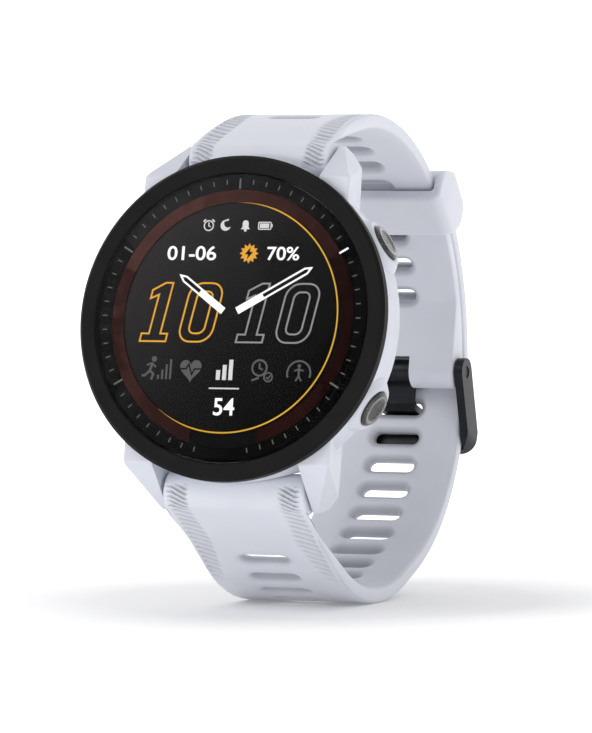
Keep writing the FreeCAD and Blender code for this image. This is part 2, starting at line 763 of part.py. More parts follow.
def keeper():
    """Loop that slides along both straps; its sides are broader than its inner and outer bands."""
    inner_hole = LOOP_RADIUS - STRAP_THICKNESS - KEEPER_CLEARANCE
    outer_hole = tail_radius + KEEPER_CLEARANCE
    inner = inner_hole - KEEPER_INNER_THICKNESS
    outer = outer_hole + KEEPER_OUTER_THICKNESS
    belly = LOOP_RADIUS
    outline = [
        (inner, -6.0), (inner + 3, -8.2), (belly, -8.5), (outer, -5.7),
        (outer, 3.1), (belly, 8.7), (inner, 7.8),
    ]
    points = [plus(loop_centre, polar(r, KEEPER_CENTRE_ANGLE + a)) for r, a in outline]
    half_hole = STRAP_WIDTH / 2 + KEEPER_CLEARANCE
    block_shape = plate_of(points, half_hole + KEEPER_SIDE_THICKNESS)
    tunnel = rod(loop_centre, outer_hole, half_hole).cut(rod(loop_centre, inner_hole, half_hole))
    return block_shape.cut(tunnel)


def side_centre_of_loop():
    return lower_path()[1]["centre"]


def bar_angle():
    """Angle of the buckle's outer bar about the centre of the strap's curve there."""
    past_pin = LOWER_SLOT_FIRST + LOWER_SLOT_STEP
    return LOWER_JOIN_ANGLE - math.degrees((past_pin - 0.6) / LOWER_RADIUS)


def buckle_frame():
    """U-shaped frame: two arms on the pin, joined by a bar across the outside of the strap."""
    centre = side_centre_of_loop()
    arm_inner = STRAP_WIDTH / 2 + 0.25
    arm_outer = arm_inner + ARM_THICKNESS
    base = LOWER_RADIUS + STRAP_GAP
    top = base + BAR_THICKNESS
    angle = bar_angle()
    half_turn = math.degrees(BAR_LENGTH / 2 / base)
    low = angle - half_turn
    high = angle + half_turn
    corners = [(base, low), (base, high), (top, high), (top, low)]
    bar_face = [plus(centre, polar(r, a)) for r, a in corners]
    bar = belt([arc(centre, top, high, low)], 0, BAR_THICKNESS, arm_outer)
    head = rod(pin_centre, 2.1, arm_outer)
    upper_edge = touch_point(bar_face[2], pin_centre, 2.1, 1)
    inner_low = plus(centre, polar(base - 1.9, low + 2))
    lower_edge = touch_point(inner_low, pin_centre, 2.1, -1)
    arms = plate_of([lower_edge, inner_low, bar_face[0], bar_face[3], bar_face[2], upper_edge], arm_outer)
    arms = fused([arms, head]).cut(rod(pin_centre, 20, arm_inner))
    frame = fused([arms, bar])
    seat = belt([arc(centre, top + 1, high + 10, low - 10)], 0, 1.5, TANG_WIDTH / 2 + 0.2)
    pin_hole = rod(pin_centre, PIN_RADIUS, arm_outer + 1)
    corner = frame_corner_tool(low, arm_outer)
    return bored(frame, [seat, pin_hole] + corner)


def frame_corner_tool(low, arm_outer):
    """Cutters that round the two lower corners of the frame as seen from outside."""
    centre = side_centre_of_loop()
    point = plus(centre, polar(LOWER_RADIUS, low))
    tools = []
    radius = 2.4
    for side in (-1, 1):
        x0 = side * (arm_outer - radius)
        x1 = x0 + side * radius * 2
        square = block(min(x0, x1), -8, -radius * 2, max(x0, x1), 8, radius)
        round_part = Part.makeCylinder(radius, 16, Vector(x0, -8, radius), Vector(0, 1, 0))
        tool = square.cut(round_part)
        tool.rotate(Vector(0, 0, 0), Vector(1, 0, 0), low)
        tool.translate(in_plane(point))
        tools.append(tool)
    return tools


def buckle_pin():
    return rod(pin_centre, PIN_RADIUS - 0.01, STRAP_WIDTH / 2 + 0.25 + ARM_THICKNESS - 0.15)


def buckle_tang():
    """Flat tongue on the pin that dips through a slot and lies over the frame's outer bar."""
    centre = side_centre_of_loop()
    half = TANG_WIDTH / 2
    thin = TANG_THICKNESS / 2
    slot_angle = LOWER_JOIN_ANGLE - math.degrees(LOWER_SLOT_FIRST / LOWER_RADIUS)
    seat_radius = LOWER_RADIUS + STRAP_GAP + BAR_THICKNESS - 0.5 + SEAT + thin
    inside = LOWER_RADIUS - STRAP_THICKNESS - 0.85 - thin
    barrel_angle = math.degrees(math.atan2(pin_centre[1] - centre[1], pin_centre[0] - centre[0]))
    course = [
        (inside, barrel_angle - 1.5),
        (inside, slot_angle + 1.6),
        (LOWER_RADIUS - STRAP_THICKNESS - 0.2, slot_angle + 0.2),
        (LOWER_RADIUS + 0.5, slot_angle - 0.1),
        (seat_radius, bar_angle() + 3.3),
        (seat_radius, bar_angle() - 3.6),
    ]
    points = [plus(centre, polar(r, a)) for r, a in course]
    pieces = [rod(pin_centre, TANG_BARREL_RADIUS, half)]
    for first, second in zip(points, points[1:]):
        along = minus(second, first)
        scale = thin / math.hypot(*along)
        aside = (-along[1] * scale, along[0] * scale)
        corners = [plus(first, aside), plus(second, aside), minus(second, aside), minus(first, aside)]
        pieces += [plate_of(corners, half), rod(second, thin, half)]
    return fused(pieces).cut(rod(pin_centre, PIN_RADIUS + FIT, half + 1))


# ---------------------------------------------------------------- nodes

def head_pieces():
    pieces = {
        "bezel": bezel(),
        "lens_glass": rect(0, lens_base, lens_radius - FIT, HEAD_THICKNESS - LENS_RECESS),
        "minute_ring": rect(minute_inner, ring_base, lens_radius - FIT, lens_base),
        "solar_ring": rect(display_radius, ring_base, solar_outer, lens_base),
        "lens_gasket": rect(lip_radius + 0.1, lens_seat, lens_radius - 0.25, ring_base),
        "case_body": case_body(),
        "display_panel": rect(0, panel_base, frame_radius - 0.4, panel_base + 1.1),
        "backlight": rect(0, backlight_base, frame_radius - 0.5, panel_base),
        "display_frame": display_frame(),
        "chassis_plate": chassis_plate(),
        "main_board": main_board(),
        "shield_cans": shield_cans(),
        "battery": battery(),
        "vibration_motor": Part.makeCylinder(3.3, 2.6, Vector(0, 13.8, ledge_top + 0.2)),
        "piezo_beeper": Part.makeCylinder(3.0, 0.8, Vector(0, -14.0, BOARD_HEIGHT - 1.7)),
        "pressure_sensor": Part.makeCylinder(1.6, 1.7, Vector(-15.3, 4.0, ledge_top)),
        "gps_antenna": gps_antenna(),
        "rear_cover": rear_cover(),
        "rear_cover_gasket": rect(ledge_inner + 0.2, cover_top, ledge_inner + 1.0, rear_ledge),
        "rear_cover_screws": rear_screws(),
        "sensor_window": sensor_window(),
        "sensor_board": rect(0, cover_top + FIT, WINDOW_RADIUS + 1.3, cover_top + 0.65),
        "sensor_leds": sensor_leds(),
        "charge_contacts": charge_contacts(),
        "button_seals": Part.makeCompound([at_clock(button_seal(), a) for a in BUTTONS.values()]),
        "side_switches": Part.makeCompound([at_clock(side_switch(), a) for a in BUTTONS.values()]),
    }
    for name, angle in BUTTONS.items():
        pieces["button_" + name] = at_clock(button(), angle)
        pieces["clip_" + name] = at_clock(button_clip(), angle)
    for place, end in (("upper", 1), ("lower", -1)):
        pieces[place + "_bar_sleeve"] = bar_sleeve(end)
        pieces[place + "_bar_spring"] = bar_spring(end)
        pieces[place + "_tip_right"] = bar_tip(1, end)
        pieces[place + "_tip_left"] = bar_tip(-1, end)
    return {name: tipped(shape) for name, shape in pieces.items()}


def strap_pieces():
    return {
        "strap_upper": strap_upper(),
        "strap_lower": strap_lower(),
        "keeper": keeper(),
        "buckle_frame": buckle_frame(),
        "buckle_pin": buckle_pin(),
        "buckle_tang": buckle_tang(),
    }


def main():
    os.makedirs("parts", exist_ok=True)
    nodes = head_pieces()
    nodes.update(strap_pieces())
    for name, shape in nodes.items():
        shape.exportStep(os.path.join("parts", name + ".step"))
        box = shape.BoundBox
        print(name, len(shape.Solids), "solids", shape.isValid(), round(shape.Volume, 2), "mm3",
              [round(v, 2) for v in (box.XMin, box.YMin, box.ZMin, box.XMax, box.YMax, box.ZMax)])


main()
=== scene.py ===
import json
import math
import bpy
import bmesh
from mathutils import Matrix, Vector


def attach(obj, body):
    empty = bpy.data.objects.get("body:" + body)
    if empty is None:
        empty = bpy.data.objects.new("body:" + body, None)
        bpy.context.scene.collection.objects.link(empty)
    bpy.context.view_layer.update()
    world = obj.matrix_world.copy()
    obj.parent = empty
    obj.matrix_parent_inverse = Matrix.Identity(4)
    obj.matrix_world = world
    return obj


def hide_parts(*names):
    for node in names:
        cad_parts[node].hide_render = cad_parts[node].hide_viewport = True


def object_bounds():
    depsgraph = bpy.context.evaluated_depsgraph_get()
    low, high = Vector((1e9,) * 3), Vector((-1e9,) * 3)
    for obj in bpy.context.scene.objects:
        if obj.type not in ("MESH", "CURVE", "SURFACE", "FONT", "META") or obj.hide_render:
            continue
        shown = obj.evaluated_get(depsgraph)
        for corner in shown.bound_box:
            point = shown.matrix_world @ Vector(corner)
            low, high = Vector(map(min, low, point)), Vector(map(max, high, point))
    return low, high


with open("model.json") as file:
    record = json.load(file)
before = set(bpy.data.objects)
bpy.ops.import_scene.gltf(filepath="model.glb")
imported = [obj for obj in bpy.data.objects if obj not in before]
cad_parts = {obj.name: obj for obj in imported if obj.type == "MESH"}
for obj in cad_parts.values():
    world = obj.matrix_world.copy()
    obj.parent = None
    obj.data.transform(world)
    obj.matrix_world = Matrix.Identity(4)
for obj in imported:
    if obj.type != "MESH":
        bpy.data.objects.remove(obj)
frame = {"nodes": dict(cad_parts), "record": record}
cad_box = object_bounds()
nodes = frame["nodes"]
slots = {part["node"]: part["material_slot"] for part in frame["record"]["subparts"]}

# Lengths below are millimetres unless a name says otherwise. The head has its own frame, with x to
# 3 o'clock, y to 12 o'clock and z from the sensor window to the face, leaning back by FACE_TILT.
MM = 0.001
FACE_TILT = math.radians(11.0)
HEAD_THICKNESS = 14.4
BAR_REACH = 23.8
BAR_HEIGHT = 5.9

# Straps, buckle and keeper, as in part.py
ROOT_RADIUS = 2.9
ROOT_HALF = 10.8
STRAP_HALF = 10.3
STRAP_THICKNESS = 2.25
EDGE_ROUND = 0.6
LOOP_CENTRE = (15.9, -4.75)
LOOP_RADIUS = 36.25
STRAP_GAP = 0.15
TAIL_RADIUS = LOOP_RADIUS + STRAP_GAP + STRAP_THICKNESS
TOP_JOIN = 52.0
TOP_STRAIGHT = 3.0
PIN_ANGLE = -3.8
PIN_BARREL = 2.55
TAIL_ANGLE = 42.0
LOWER_JOIN = -4.0
LOWER_RADIUS = 33.0
FLAT_ANGLE = -70.0
FLAT_LENGTH = 5.0
BOTTOM_STRAIGHT = 15.5
SLOT_HALF = 2.65
SLOT_RADIUS = 1.0
LOWER_SLOT_FIRST = 6.0
LOWER_SLOT_STEP = 4.9
RIB_SPAN = 21.0
RIB_DEPTH = 0.5
RIB_PITCH = 1.3
ROOT_RIB_PITCH = 0.72
RIB_BAND = 3.7
RIB_BAND_NARROWING = 1.5
PIN_BORE = 1.0
TANG_NOTCH_RADIUS = 3.2
TANG_NOTCH_HALF = 3.35
KEEPER_ANGLE = 41.5

# Dial, and the knurl on the case
TICK_COUNT = 60
ON_PANEL = 13.47
ON_RING = 13.702
ARC_RADIUS = 16.5
KNURL_PITCH = 1.0
KNURL_HEIGHT = 5.6
KNURL_HALF_HEIGHT = 1.3
KNURL_HALF_LENGTH = 6.2
PICTURE_AT = (-0.45, 0.2)
TICKS_AT = (-0.2, 0.2)

# Camera, and how far right of and below the face's centre it looks
CAMERA_AZIMUTH = math.radians(23.2)
CAMERA_ELEVATION = math.radians(1.5)
CAMERA_DISTANCE = 700.0
CAMERA_LENS = 244.532
AIM_RIGHT = 9.335
AIM_DOWN = 6.931


# ------------------------------------------------------------ plane geometry

def polar(radius, angle):
    return radius * math.cos(math.radians(angle)), radius * math.sin(math.radians(angle))


def plus(p, q):
    return p[0] + q[0], p[1] + q[1]


def minus(p, q):
    return p[0] - q[0], p[1] - q[1]


def dot(p, q):
    return p[0] * q[0] + p[1] * q[1]


def lerp(p, q, t):
    return p[0] + (q[0] - p[0]) * t, p[1] + (q[1] - p[1]) * t


def smooth(low, high, value):
    t = min(1.0, max(0.0, (value - low) / (high - low)))
    return t * t * (3 - 2 * t)


def head_point(x, y, z):
    s, c = math.sin(FACE_TILT), math.cos(FACE_TILT)
    return Vector((x, y * s - z * c, y * c + z * s)) * MM


def bar_centre(end):
    s, c = math.sin(FACE_TILT), math.cos(FACE_TILT)
    return end * BAR_REACH * s - BAR_HEIGHT * c, end * BAR_REACH * c + BAR_HEIGHT * s


def tangent_normal(bar, bar_r, centre, radius, side):
    away = minus(centre, bar)
    spread = math.degrees(math.acos((bar_r - radius) / math.hypot(*away)))
    return math.degrees(math.atan2(away[1], away[0])) + side * spread


def touch_angle(outside, centre, radius, side):
    away = minus(outside, centre)
    spread = math.degrees(math.acos(radius / math.hypot(*away)))
    return math.degrees(math.atan2(away[1], away[0])) + side * spread


def arc(centre, radius, start, stop):
    return {"kind": "arc", "centre": centre, "radius": radius, "start": start, "stop": stop,
            "length": math.radians(abs(start - stop)) * radius}


def line(start, normal, length):
    return {"kind": "line", "start": start, "normal": normal, "length": length}


def place_on(segment, share, inward=0.0):
    if segment["kind"] == "arc":
        angle = segment["start"] + share * (segment["stop"] - segment["start"])
        return plus(segment["centre"], polar(segment["radius"] - inward, angle))
    along = polar(1, segment["normal"] - 90)
    out = polar(1, segment["normal"])
    run = segment["length"] * share
    start = segment["start"]
    return start[0] + along[0] * run - out[0] * inward, start[1] + along[1] * run - out[1] * inward


def on_path(path, distance, inward=0.0):
    distance = max(0.0, distance)
    for segment in path:
        if distance <= segment["length"]:
            return place_on(segment, distance / segment["length"], inward)
        distance -= segment["length"]
    return place_on(path[-1], 1.0, inward)


def upper_path():
    bar = bar_centre(1)
    join = polar(1, TOP_JOIN)
    apart = minus(LOOP_CENTRE, bar)
    reach = LOOP_RADIUS - ROOT_RADIUS
    step = (reach ** 2 + TOP_STRAIGHT ** 2 - dot(apart, apart)) / (2 * (dot(join, apart) + reach))
    top_radius = LOOP_RADIUS - step
    top_centre = plus(LOOP_CENTRE, polar(step, TOP_JOIN))
    normal = tangent_normal(bar, ROOT_RADIUS, top_centre, top_radius, 1)
    return [line(plus(bar, polar(ROOT_RADIUS, normal)), normal, TOP_STRAIGHT),
            arc(top_centre, top_radius, normal, TOP_JOIN),
            arc(LOOP_CENTRE, LOOP_RADIUS, TOP_JOIN, PIN_ANGLE)]


def lower_path():
    bar = bar_centre(-1)
    side_centre = plus(LOOP_CENTRE, polar(TAIL_RADIUS - LOWER_RADIUS, LOWER_JOIN))
    flat_start = plus(side_centre, polar(LOWER_RADIUS, FLAT_ANGLE))
    along = polar(1, FLAT_ANGLE - 90)
    flat_end = plus(flat_start, (along[0] * FLAT_LENGTH, along[1] * FLAT_LENGTH))
    out = polar(1, FLAT_ANGLE)
    apart = minus(flat_end, bar)
    square = dot(apart, apart) - ROOT_RADIUS ** 2 - BOTTOM_STRAIGHT ** 2
    radius = square / (2 * (dot(apart, out) - ROOT_RADIUS))
    centre = (flat_end[0] - out[0] * radius, flat_end[1] - out[1] * radius)
    normal = tangent_normal(bar, ROOT_RADIUS, centre, radius, -1)
    return [arc(LOOP_CENTRE, TAIL_RADIUS, TAIL_ANGLE, LOWER_JOIN),
            arc(side_centre, LOWER_RADIUS, LOWER_JOIN, FLAT_ANGLE),
            line(flat_start, FLAT_ANGLE, FLAT_LENGTH),
            arc(centre, radius, FLAT_ANGLE, normal),
            line(plus(centre, polar(radius, normal)), normal, BOTTOM_STRAIGHT)]


# ------------------------------------------------------------ mesh helpers

def show(thing):
    bpy.context.scene.collection.objects.link(thing)
    return thing


def face_outward(mesh, merge=0.0):
    """Turns every face outward, after joining points that lie closer than merge."""
    work = bmesh.new()
    work.from_mesh(mesh)
    if merge:
        bmesh.ops.remove_doubles(work, verts=work.verts, dist=merge)
    bmesh.ops.recalc_face_normals(work, faces=work.faces)
    work.to_mesh(mesh)
    work.free()


def add_piece(name, mesh, body, material):
    """Puts a mesh in the scene as a piece that rides on a body, with the given material."""
    mesh.materials.append(material)
    piece = show(bpy.data.objects.new(name, mesh))
    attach(piece, body)
    return piece


def mesh_piece(name, points, faces, body, material, sharp=35.0, shade=None):
    """A smooth mesh piece from points in metres, with edges past the sharp angle kept crisp.

    shade gives each point's depth in a groove, from 0 to 1, for materials that paint shade there."""
    mesh = bpy.data.meshes.new(name)
    mesh.from_pydata([tuple(p) for p in points], [], faces)
    if shade:
        mesh.attributes.new("groove", "FLOAT", "POINT").data.foreach_set("value", shade)
    face_outward(mesh, 2e-7)
    mesh.shade_smooth()
    mesh.set_sharp_from_angle(angle=math.radians(sharp))
    return add_piece(name, mesh, body, material)


def plane_point(point, x):
    return Vector((x, point[0], point[1])) * MM


def prism(outline, half_width):
    """Closed prism over an outline in the YZ plane, centred on it."""
    count = len(outline)
    points = [plane_point(p, x) for x in (-half_width, half_width) for p in outline]
    faces = [tuple(range(count)), tuple(range(2 * count - 1, count - 1, -1))]
    faces += [(i, (i + 1) % count, count + (i + 1) % count, count + i) for i in range(count)]
    return points, faces


def carved(piece, cutters):
    """Takes cutter prisms out of a piece."""
    for outline, half_width in cutters:
        points, faces = prism(outline, half_width)
        mesh = bpy.data.meshes.new("cutter")
        mesh.from_pydata([tuple(p) for p in points], [], faces)
        face_outward(mesh)
        cutter = show(bpy.data.objects.new("cutter", mesh))
        change = piece.modifiers.new("cut", "BOOLEAN")
        change.operation = "DIFFERENCE"
        change.solver = "EXACT"
        change.object = cutter
        graph = bpy.context.evaluated_depsgraph_get()
        result = bpy.data.meshes.new_from_object(piece.evaluated_get(graph))
        piece.modifiers.clear()
        piece.data = result
        bpy.data.objects.remove(cutter)
    piece.data.set_sharp_from_angle(angle=math.radians(35))


# ------------------------------------------------------------ strap

def strap_columns():
    """Places across the strap, from one side's middle over the face to the other side's middle."""
    flat = [5.0 + 0.25 * i for i in range(1, 18)] + [9.5]
    inside = [0.0, 0.65, 1.3, 1.95, 2.6, 3.2, 3.8, 4.4, 5.0]
    right = inside[1:] + flat
    middle = [-u for u in reversed(right)] + [0.0] + right
    columns = [("side", -1, 0.0)]
    columns += [("round", -1, a) for a in (90.0, 67.5, 45.0, 22.5, 0.0)]
    columns += [("flat", 0, u) for u in middle]
    columns += [("round", 1, a) for a in (0.0, 22.5, 45.0, 67.5, 90.0)]
    columns += [("side", 1, 0.0)]
    return columns


def strap_piece(name, section, rows, cells, half, relief, material):
    """Builds a strap half as one closed skin.

    section(s) gives the outer and inner points at distance s, rows are the distances, cells are
    (first row, last row, centre) for each slot and relief(s, u) is how deep the outer face dips."""
    columns = strap_columns()
    points = []
    faces = []
    shade = []

    def add(s, u, depth, outer):
        face_out, face_in = section(s)
        thick = math.hypot(*minus(face_out, face_in))
        share = 0.0 if thick < 1e-6 else min(depth, thick / 2) / thick
        point = lerp(face_out, face_in, share) if outer else lerp(face_in, face_out, share)
        points.append(plane_point(point, u))
        # Groove depth, which the silicone uses for painted shade in the rib grooves and slot recesses.
        shade.append(0.0 if abs(u) > ROOT_HALF - EDGE_ROUND else min(1.0, depth / RIB_DEPTH))
        return len(points) - 1

    def column_place(column, s, outer):
        kind, side, value = column
        edge = half(s)
        if kind == "side":
            return side * edge, 99.0
        if kind == "round":
            turn = math.radians(value)
            return side * (edge - EDGE_ROUND * (1 - math.sin(turn))), EDGE_ROUND * (1 - math.cos(turn))
        return value, relief(s, value) if outer else 0.0

    low = min(i for i, c in enumerate(columns) if c[0] == "flat" and c[2] >= -5.01)
    high = max(i for i, c in enumerate(columns) if c[0] == "flat" and c[2] <= 5.01)
    covered = {r for first, last, centre in cells for r in range(first, last)}
    hidden = {r for first, last, centre in cells for r in range(first + 1, last)}
    grids = []
    for outer in (True, False):
        grid = []
        for r, s in enumerate(rows):
            ids = []
            for c, column in enumerate(columns):
                if r in hidden and low < c < high:
                    ids.append(None)
                elif not outer and column[0] == "side":
                    ids.append(grids[0][r][c])
                else:
                    u, depth = column_place(column, s, outer)
                    ids.append(add(s, u, depth, outer))
            grid.append(ids)
        grids.append(grid)
        for r in range(len(rows) - 1):
            for c in range(len(columns) - 1):
                if r in covered and low <= c < high:
                    continue
                quad = (grid[r][c], grid[r][c + 1], grid[r + 1][c + 1], grid[r + 1][c])
                faces.append(quad if outer else quad[::-1])
    for first, last, centre in cells:
        rim = [(first, c) for c in range(low, high)]
        rim += [(r, high) for r in range(first, last)]
        rim += [(last, c) for c in range(high, low, -1)]
        rim += [(r, low) for r in range(last, first, -1)]
        walls = []
        for outer in (True, False):
            grid = grids[0 if outer else 1]
            rings = [[grid[r][c] for r, c in rim]]
            steps = [(1.0, 0.0), (0.6, 0.06), (0.25, 0.22), (0.0, 0.5)]
            if not outer:
                steps = [(1.0, 0.0), (0.8, 0.1), (0.5, 0.34), (0.18, 0.55), (0.0, 0.8)]
            for extra, depth in steps:
                ring = []
                for r, c in rim:
                    du = columns[c][2]
                    ds = rows[r] - centre
                    anchor = max(-SLOT_HALF, min(SLOT_HALF, du))
                    run = math.hypot(du - anchor, ds)
                    reach = SLOT_RADIUS + extra
                    across = anchor + (du - anchor) / run * reach
                    ring.append(add(centre + ds / run * reach, across, depth, outer))
                rings.append(ring)
            walls.append(rings[-1])
            for one, two in zip(rings, rings[1:]):
                for i in range(len(one)):
                    j = (i + 1) % len(one)
                    quad = (one[i], one[j], two[j], two[i])
                    faces.append(quad if outer else quad[::-1])
        for i in range(len(rim)):
            j = (i + 1) % len(rim)
            faces.append((walls[0][i], walls[0][j], walls[1][j], walls[1][i]))
    piece = mesh_piece(name, points, faces, "watch", material, 50.0, shade)
    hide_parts(name)
    return piece


def spread(start, stop, step):
    count = max(1, round(abs(stop - start) / step))
    return [start + (stop - start) * i / count for i in range(count + 1)]


def rows_with_cells(stretches, centres, pitch, ribbed):
    """Row distances over plain stretches, with even rows for each slot's cell, finer where it is ribbed."""
    rows = []
    for start, stop, fine in stretches:
        rows += [s for s in spread(start, stop, fine) if not rows or s > rows[-1] + 1e-6]
    for centre in centres:
        first = centre - pitch / 2
        rows = [s for s in rows if s < first - 0.02 or s > first + pitch + 0.02]
        count = 32 if ribbed(centre) else 8
        rows += [first + pitch * i / count for i in range(count + 1)]
    rows = sorted(rows)
    kept = [rows[0]]
    for s in rows[1:]:
        if s > kept[-1] + 1e-4:
            kept.append(s)

    def nearest(distance):
        return min(range(len(kept)), key=lambda i: abs(kept[i] - distance))

    return kept, [(nearest(c - pitch / 2), nearest(c + pitch / 2), c) for c in centres]


def rib_relief(distance, u, lean):
    """Fine slanted grooves in a band along each edge, which fade away from the case."""
    edge = ROOT_HALF - 0.5 * smooth(2, 9, distance)
    inset = edge - abs(u)
    width = RIB_BAND - RIB_BAND_NARROWING * smooth(6, RIB_SPAN, distance)
    band = smooth(0.35, 0.8, inset) * (1 - smooth(width - 0.5, width + 0.4, inset))
    fade = smooth(-4.5, -3.5, distance) * (1 - smooth(RIB_SPAN - 6, RIB_SPAN, distance))
    tilt = 0.5 + 0.14 * smooth(0, RIB_SPAN, distance)
    middle = math.copysign(edge - 2.4, u)
    run = distance + lean * tilt * (u - middle)
    phase = run / (RIB_PITCH if run > 0 else ROOT_RIB_PITCH)
    groove = 0.5 - 0.5 * math.cos(2 * math.pi * phase)
    return RIB_DEPTH * band * fade * groove


def make_upper(material):
    path = upper_path()
    length = sum(segment["length"] for segment in path)
    bar = bar_centre(1)
    blend = place_on(path[1], 0.25, STRAP_THICKNESS)
    blend_at = path[0]["length"] + 0.25 * path[1]["length"]
    inner_turn = touch_angle(blend, bar, ROOT_RADIUS, 1)
    outer_turn = path[0]["normal"]
    while inner_turn > outer_turn:
        inner_turn -= 360
    while inner_turn < outer_turn - 360:
        inner_turn += 360
    far_turn = (outer_turn + inner_turn + 360) / 2
    pin = plus(LOOP_CENTRE, polar(LOOP_RADIUS - PIN_BARREL, PIN_ANGLE))
    thick_angle = PIN_ANGLE + 18
    thick_at = length - math.radians(18) * LOOP_RADIUS
    thick = plus(LOOP_CENTRE, polar(LOOP_RADIUS - STRAP_THICKNESS, thick_angle))
    pin_inner = touch_angle(thick, pin, PIN_BARREL, 1)
    while pin_inner > PIN_ANGLE:
        pin_inner -= 360
    pin_far = (PIN_ANGLE + pin_inner) / 2
    root_wrap = math.radians(abs(far_turn - outer_turn)) * ROOT_RADIUS
    pin_wrap = 4.0

    def section(s):
        if s < 0:
            t = min(1.0, -s / root_wrap)
            out = plus(bar, polar(ROOT_RADIUS, outer_turn + t * (far_turn - outer_turn)))
            back = plus(bar, polar(ROOT_RADIUS, inner_turn + 360 + t * (far_turn - inner_turn - 360)))
            return out, back
        if s > length:
            t = min(1.0, (s - length) / pin_wrap)
            out = plus(pin, polar(PIN_BARREL, PIN_ANGLE + t * (pin_far - PIN_ANGLE)))
            back = plus(pin, polar(PIN_BARREL, pin_inner + t * (pin_far - pin_inner)))
            return out, back
        out = on_path(path, s)
        if s < blend_at:
            touch = plus(bar, polar(ROOT_RADIUS, inner_turn))
            return out, lerp(touch, blend, s / blend_at)
        if s > thick_at:
            touch = plus(pin, polar(PIN_BARREL, pin_inner))
            return out, lerp(thick, touch, (s - thick_at) / (length - thick_at))
        return out, on_path(path, s, STRAP_THICKNESS)

    def half(s):
        return ROOT_HALF - 0.5 * smooth(2, 9, s)

    pitch = math.radians(8.4) * LOOP_RADIUS
    first = length - math.radians(15.5 - PIN_ANGLE) * LOOP_RADIUS
    centres = [first - i * pitch for i in range(11)]
    stretches = [(-root_wrap, 0.0, 0.16), (0.0, 20.0, 0.16), (20.0, length, 0.7),
                 (length, length + pin_wrap, 0.4)]
    rows, cells = rows_with_cells(stretches, centres, pitch, lambda s: s < RIB_SPAN)
    piece = strap_piece("strap_upper", section, rows, cells, half,
                        lambda s, u: rib_relief(s, u, 1), material)
    carved(piece, [(ring_points(*pin, TANG_NOTCH_RADIUS, count=48), TANG_NOTCH_HALF),
                   (ring_points(*pin, PIN_BORE, count=48), 20.0)])
    return piece


def make_lower(material):
    path = lower_path()
    length = sum(segment["length"] for segment in path)
    bar = bar_centre(-1)
    blend = place_on(path[3], 0.9, STRAP_THICKNESS)
    blend_at = length - path[4]["length"] - 0.1 * path[3]["length"]
    outer_turn = path[4]["normal"]
    inner_turn = touch_angle(blend, bar, ROOT_RADIUS, -1)
    while inner_turn < outer_turn:
        inner_turn += 360
    while inner_turn > outer_turn + 360:
        inner_turn -= 360
    far_turn = (outer_turn + inner_turn - 360) / 2
    root_wrap = math.radians(abs(far_turn - outer_turn)) * ROOT_RADIUS
    tip = STRAP_THICKNESS / 2

    def section(s):
        if s < tip:
            inset = tip - math.sqrt(max(0.0, tip ** 2 - (tip - s) ** 2))
            return on_path(path, s, inset), on_path(path, s, STRAP_THICKNESS - inset)
        if s > length:
            t = min(1.0, (s - length) / root_wrap)
            out = plus(bar, polar(ROOT_RADIUS, outer_turn + t * (far_turn - outer_turn)))
            back = plus(bar, polar(ROOT_RADIUS, inner_turn - 360 + t * (far_turn - inner_turn + 360)))
            return out, back
        out = on_path(path, s)
        if s > blend_at:
            touch = plus(bar, polar(ROOT_RADIUS, inner_turn))
            return out, lerp(blend, touch, (s - blend_at) / (length - blend_at))
        return out, on_path(path, s, STRAP_THICKNESS)

    def half(s):
        return ROOT_HALF - 0.5 * smooth(2, 9, length - s)

    past_join = math.radians(LOWER_JOIN - PIN_ANGLE) * LOWER_RADIUS
    tang_slot = path[0]["length"] + past_join + LOWER_SLOT_FIRST
    pitch = LOWER_SLOT_STEP
    centres = [tang_slot + i * pitch for i in range(-5, 15)]
    stretches = [(0.0, tip, 0.12), (tip, length - RIB_SPAN, 0.7), (length - RIB_SPAN, length, 0.16),
                 (length, length + root_wrap, 0.16)]
    rows, cells = rows_with_cells(stretches, centres, pitch, lambda s: s > length - RIB_SPAN)
    return strap_piece("strap_lower", section, rows, cells, half,
                       lambda s, u: rib_relief(length - s, u, -1), material)


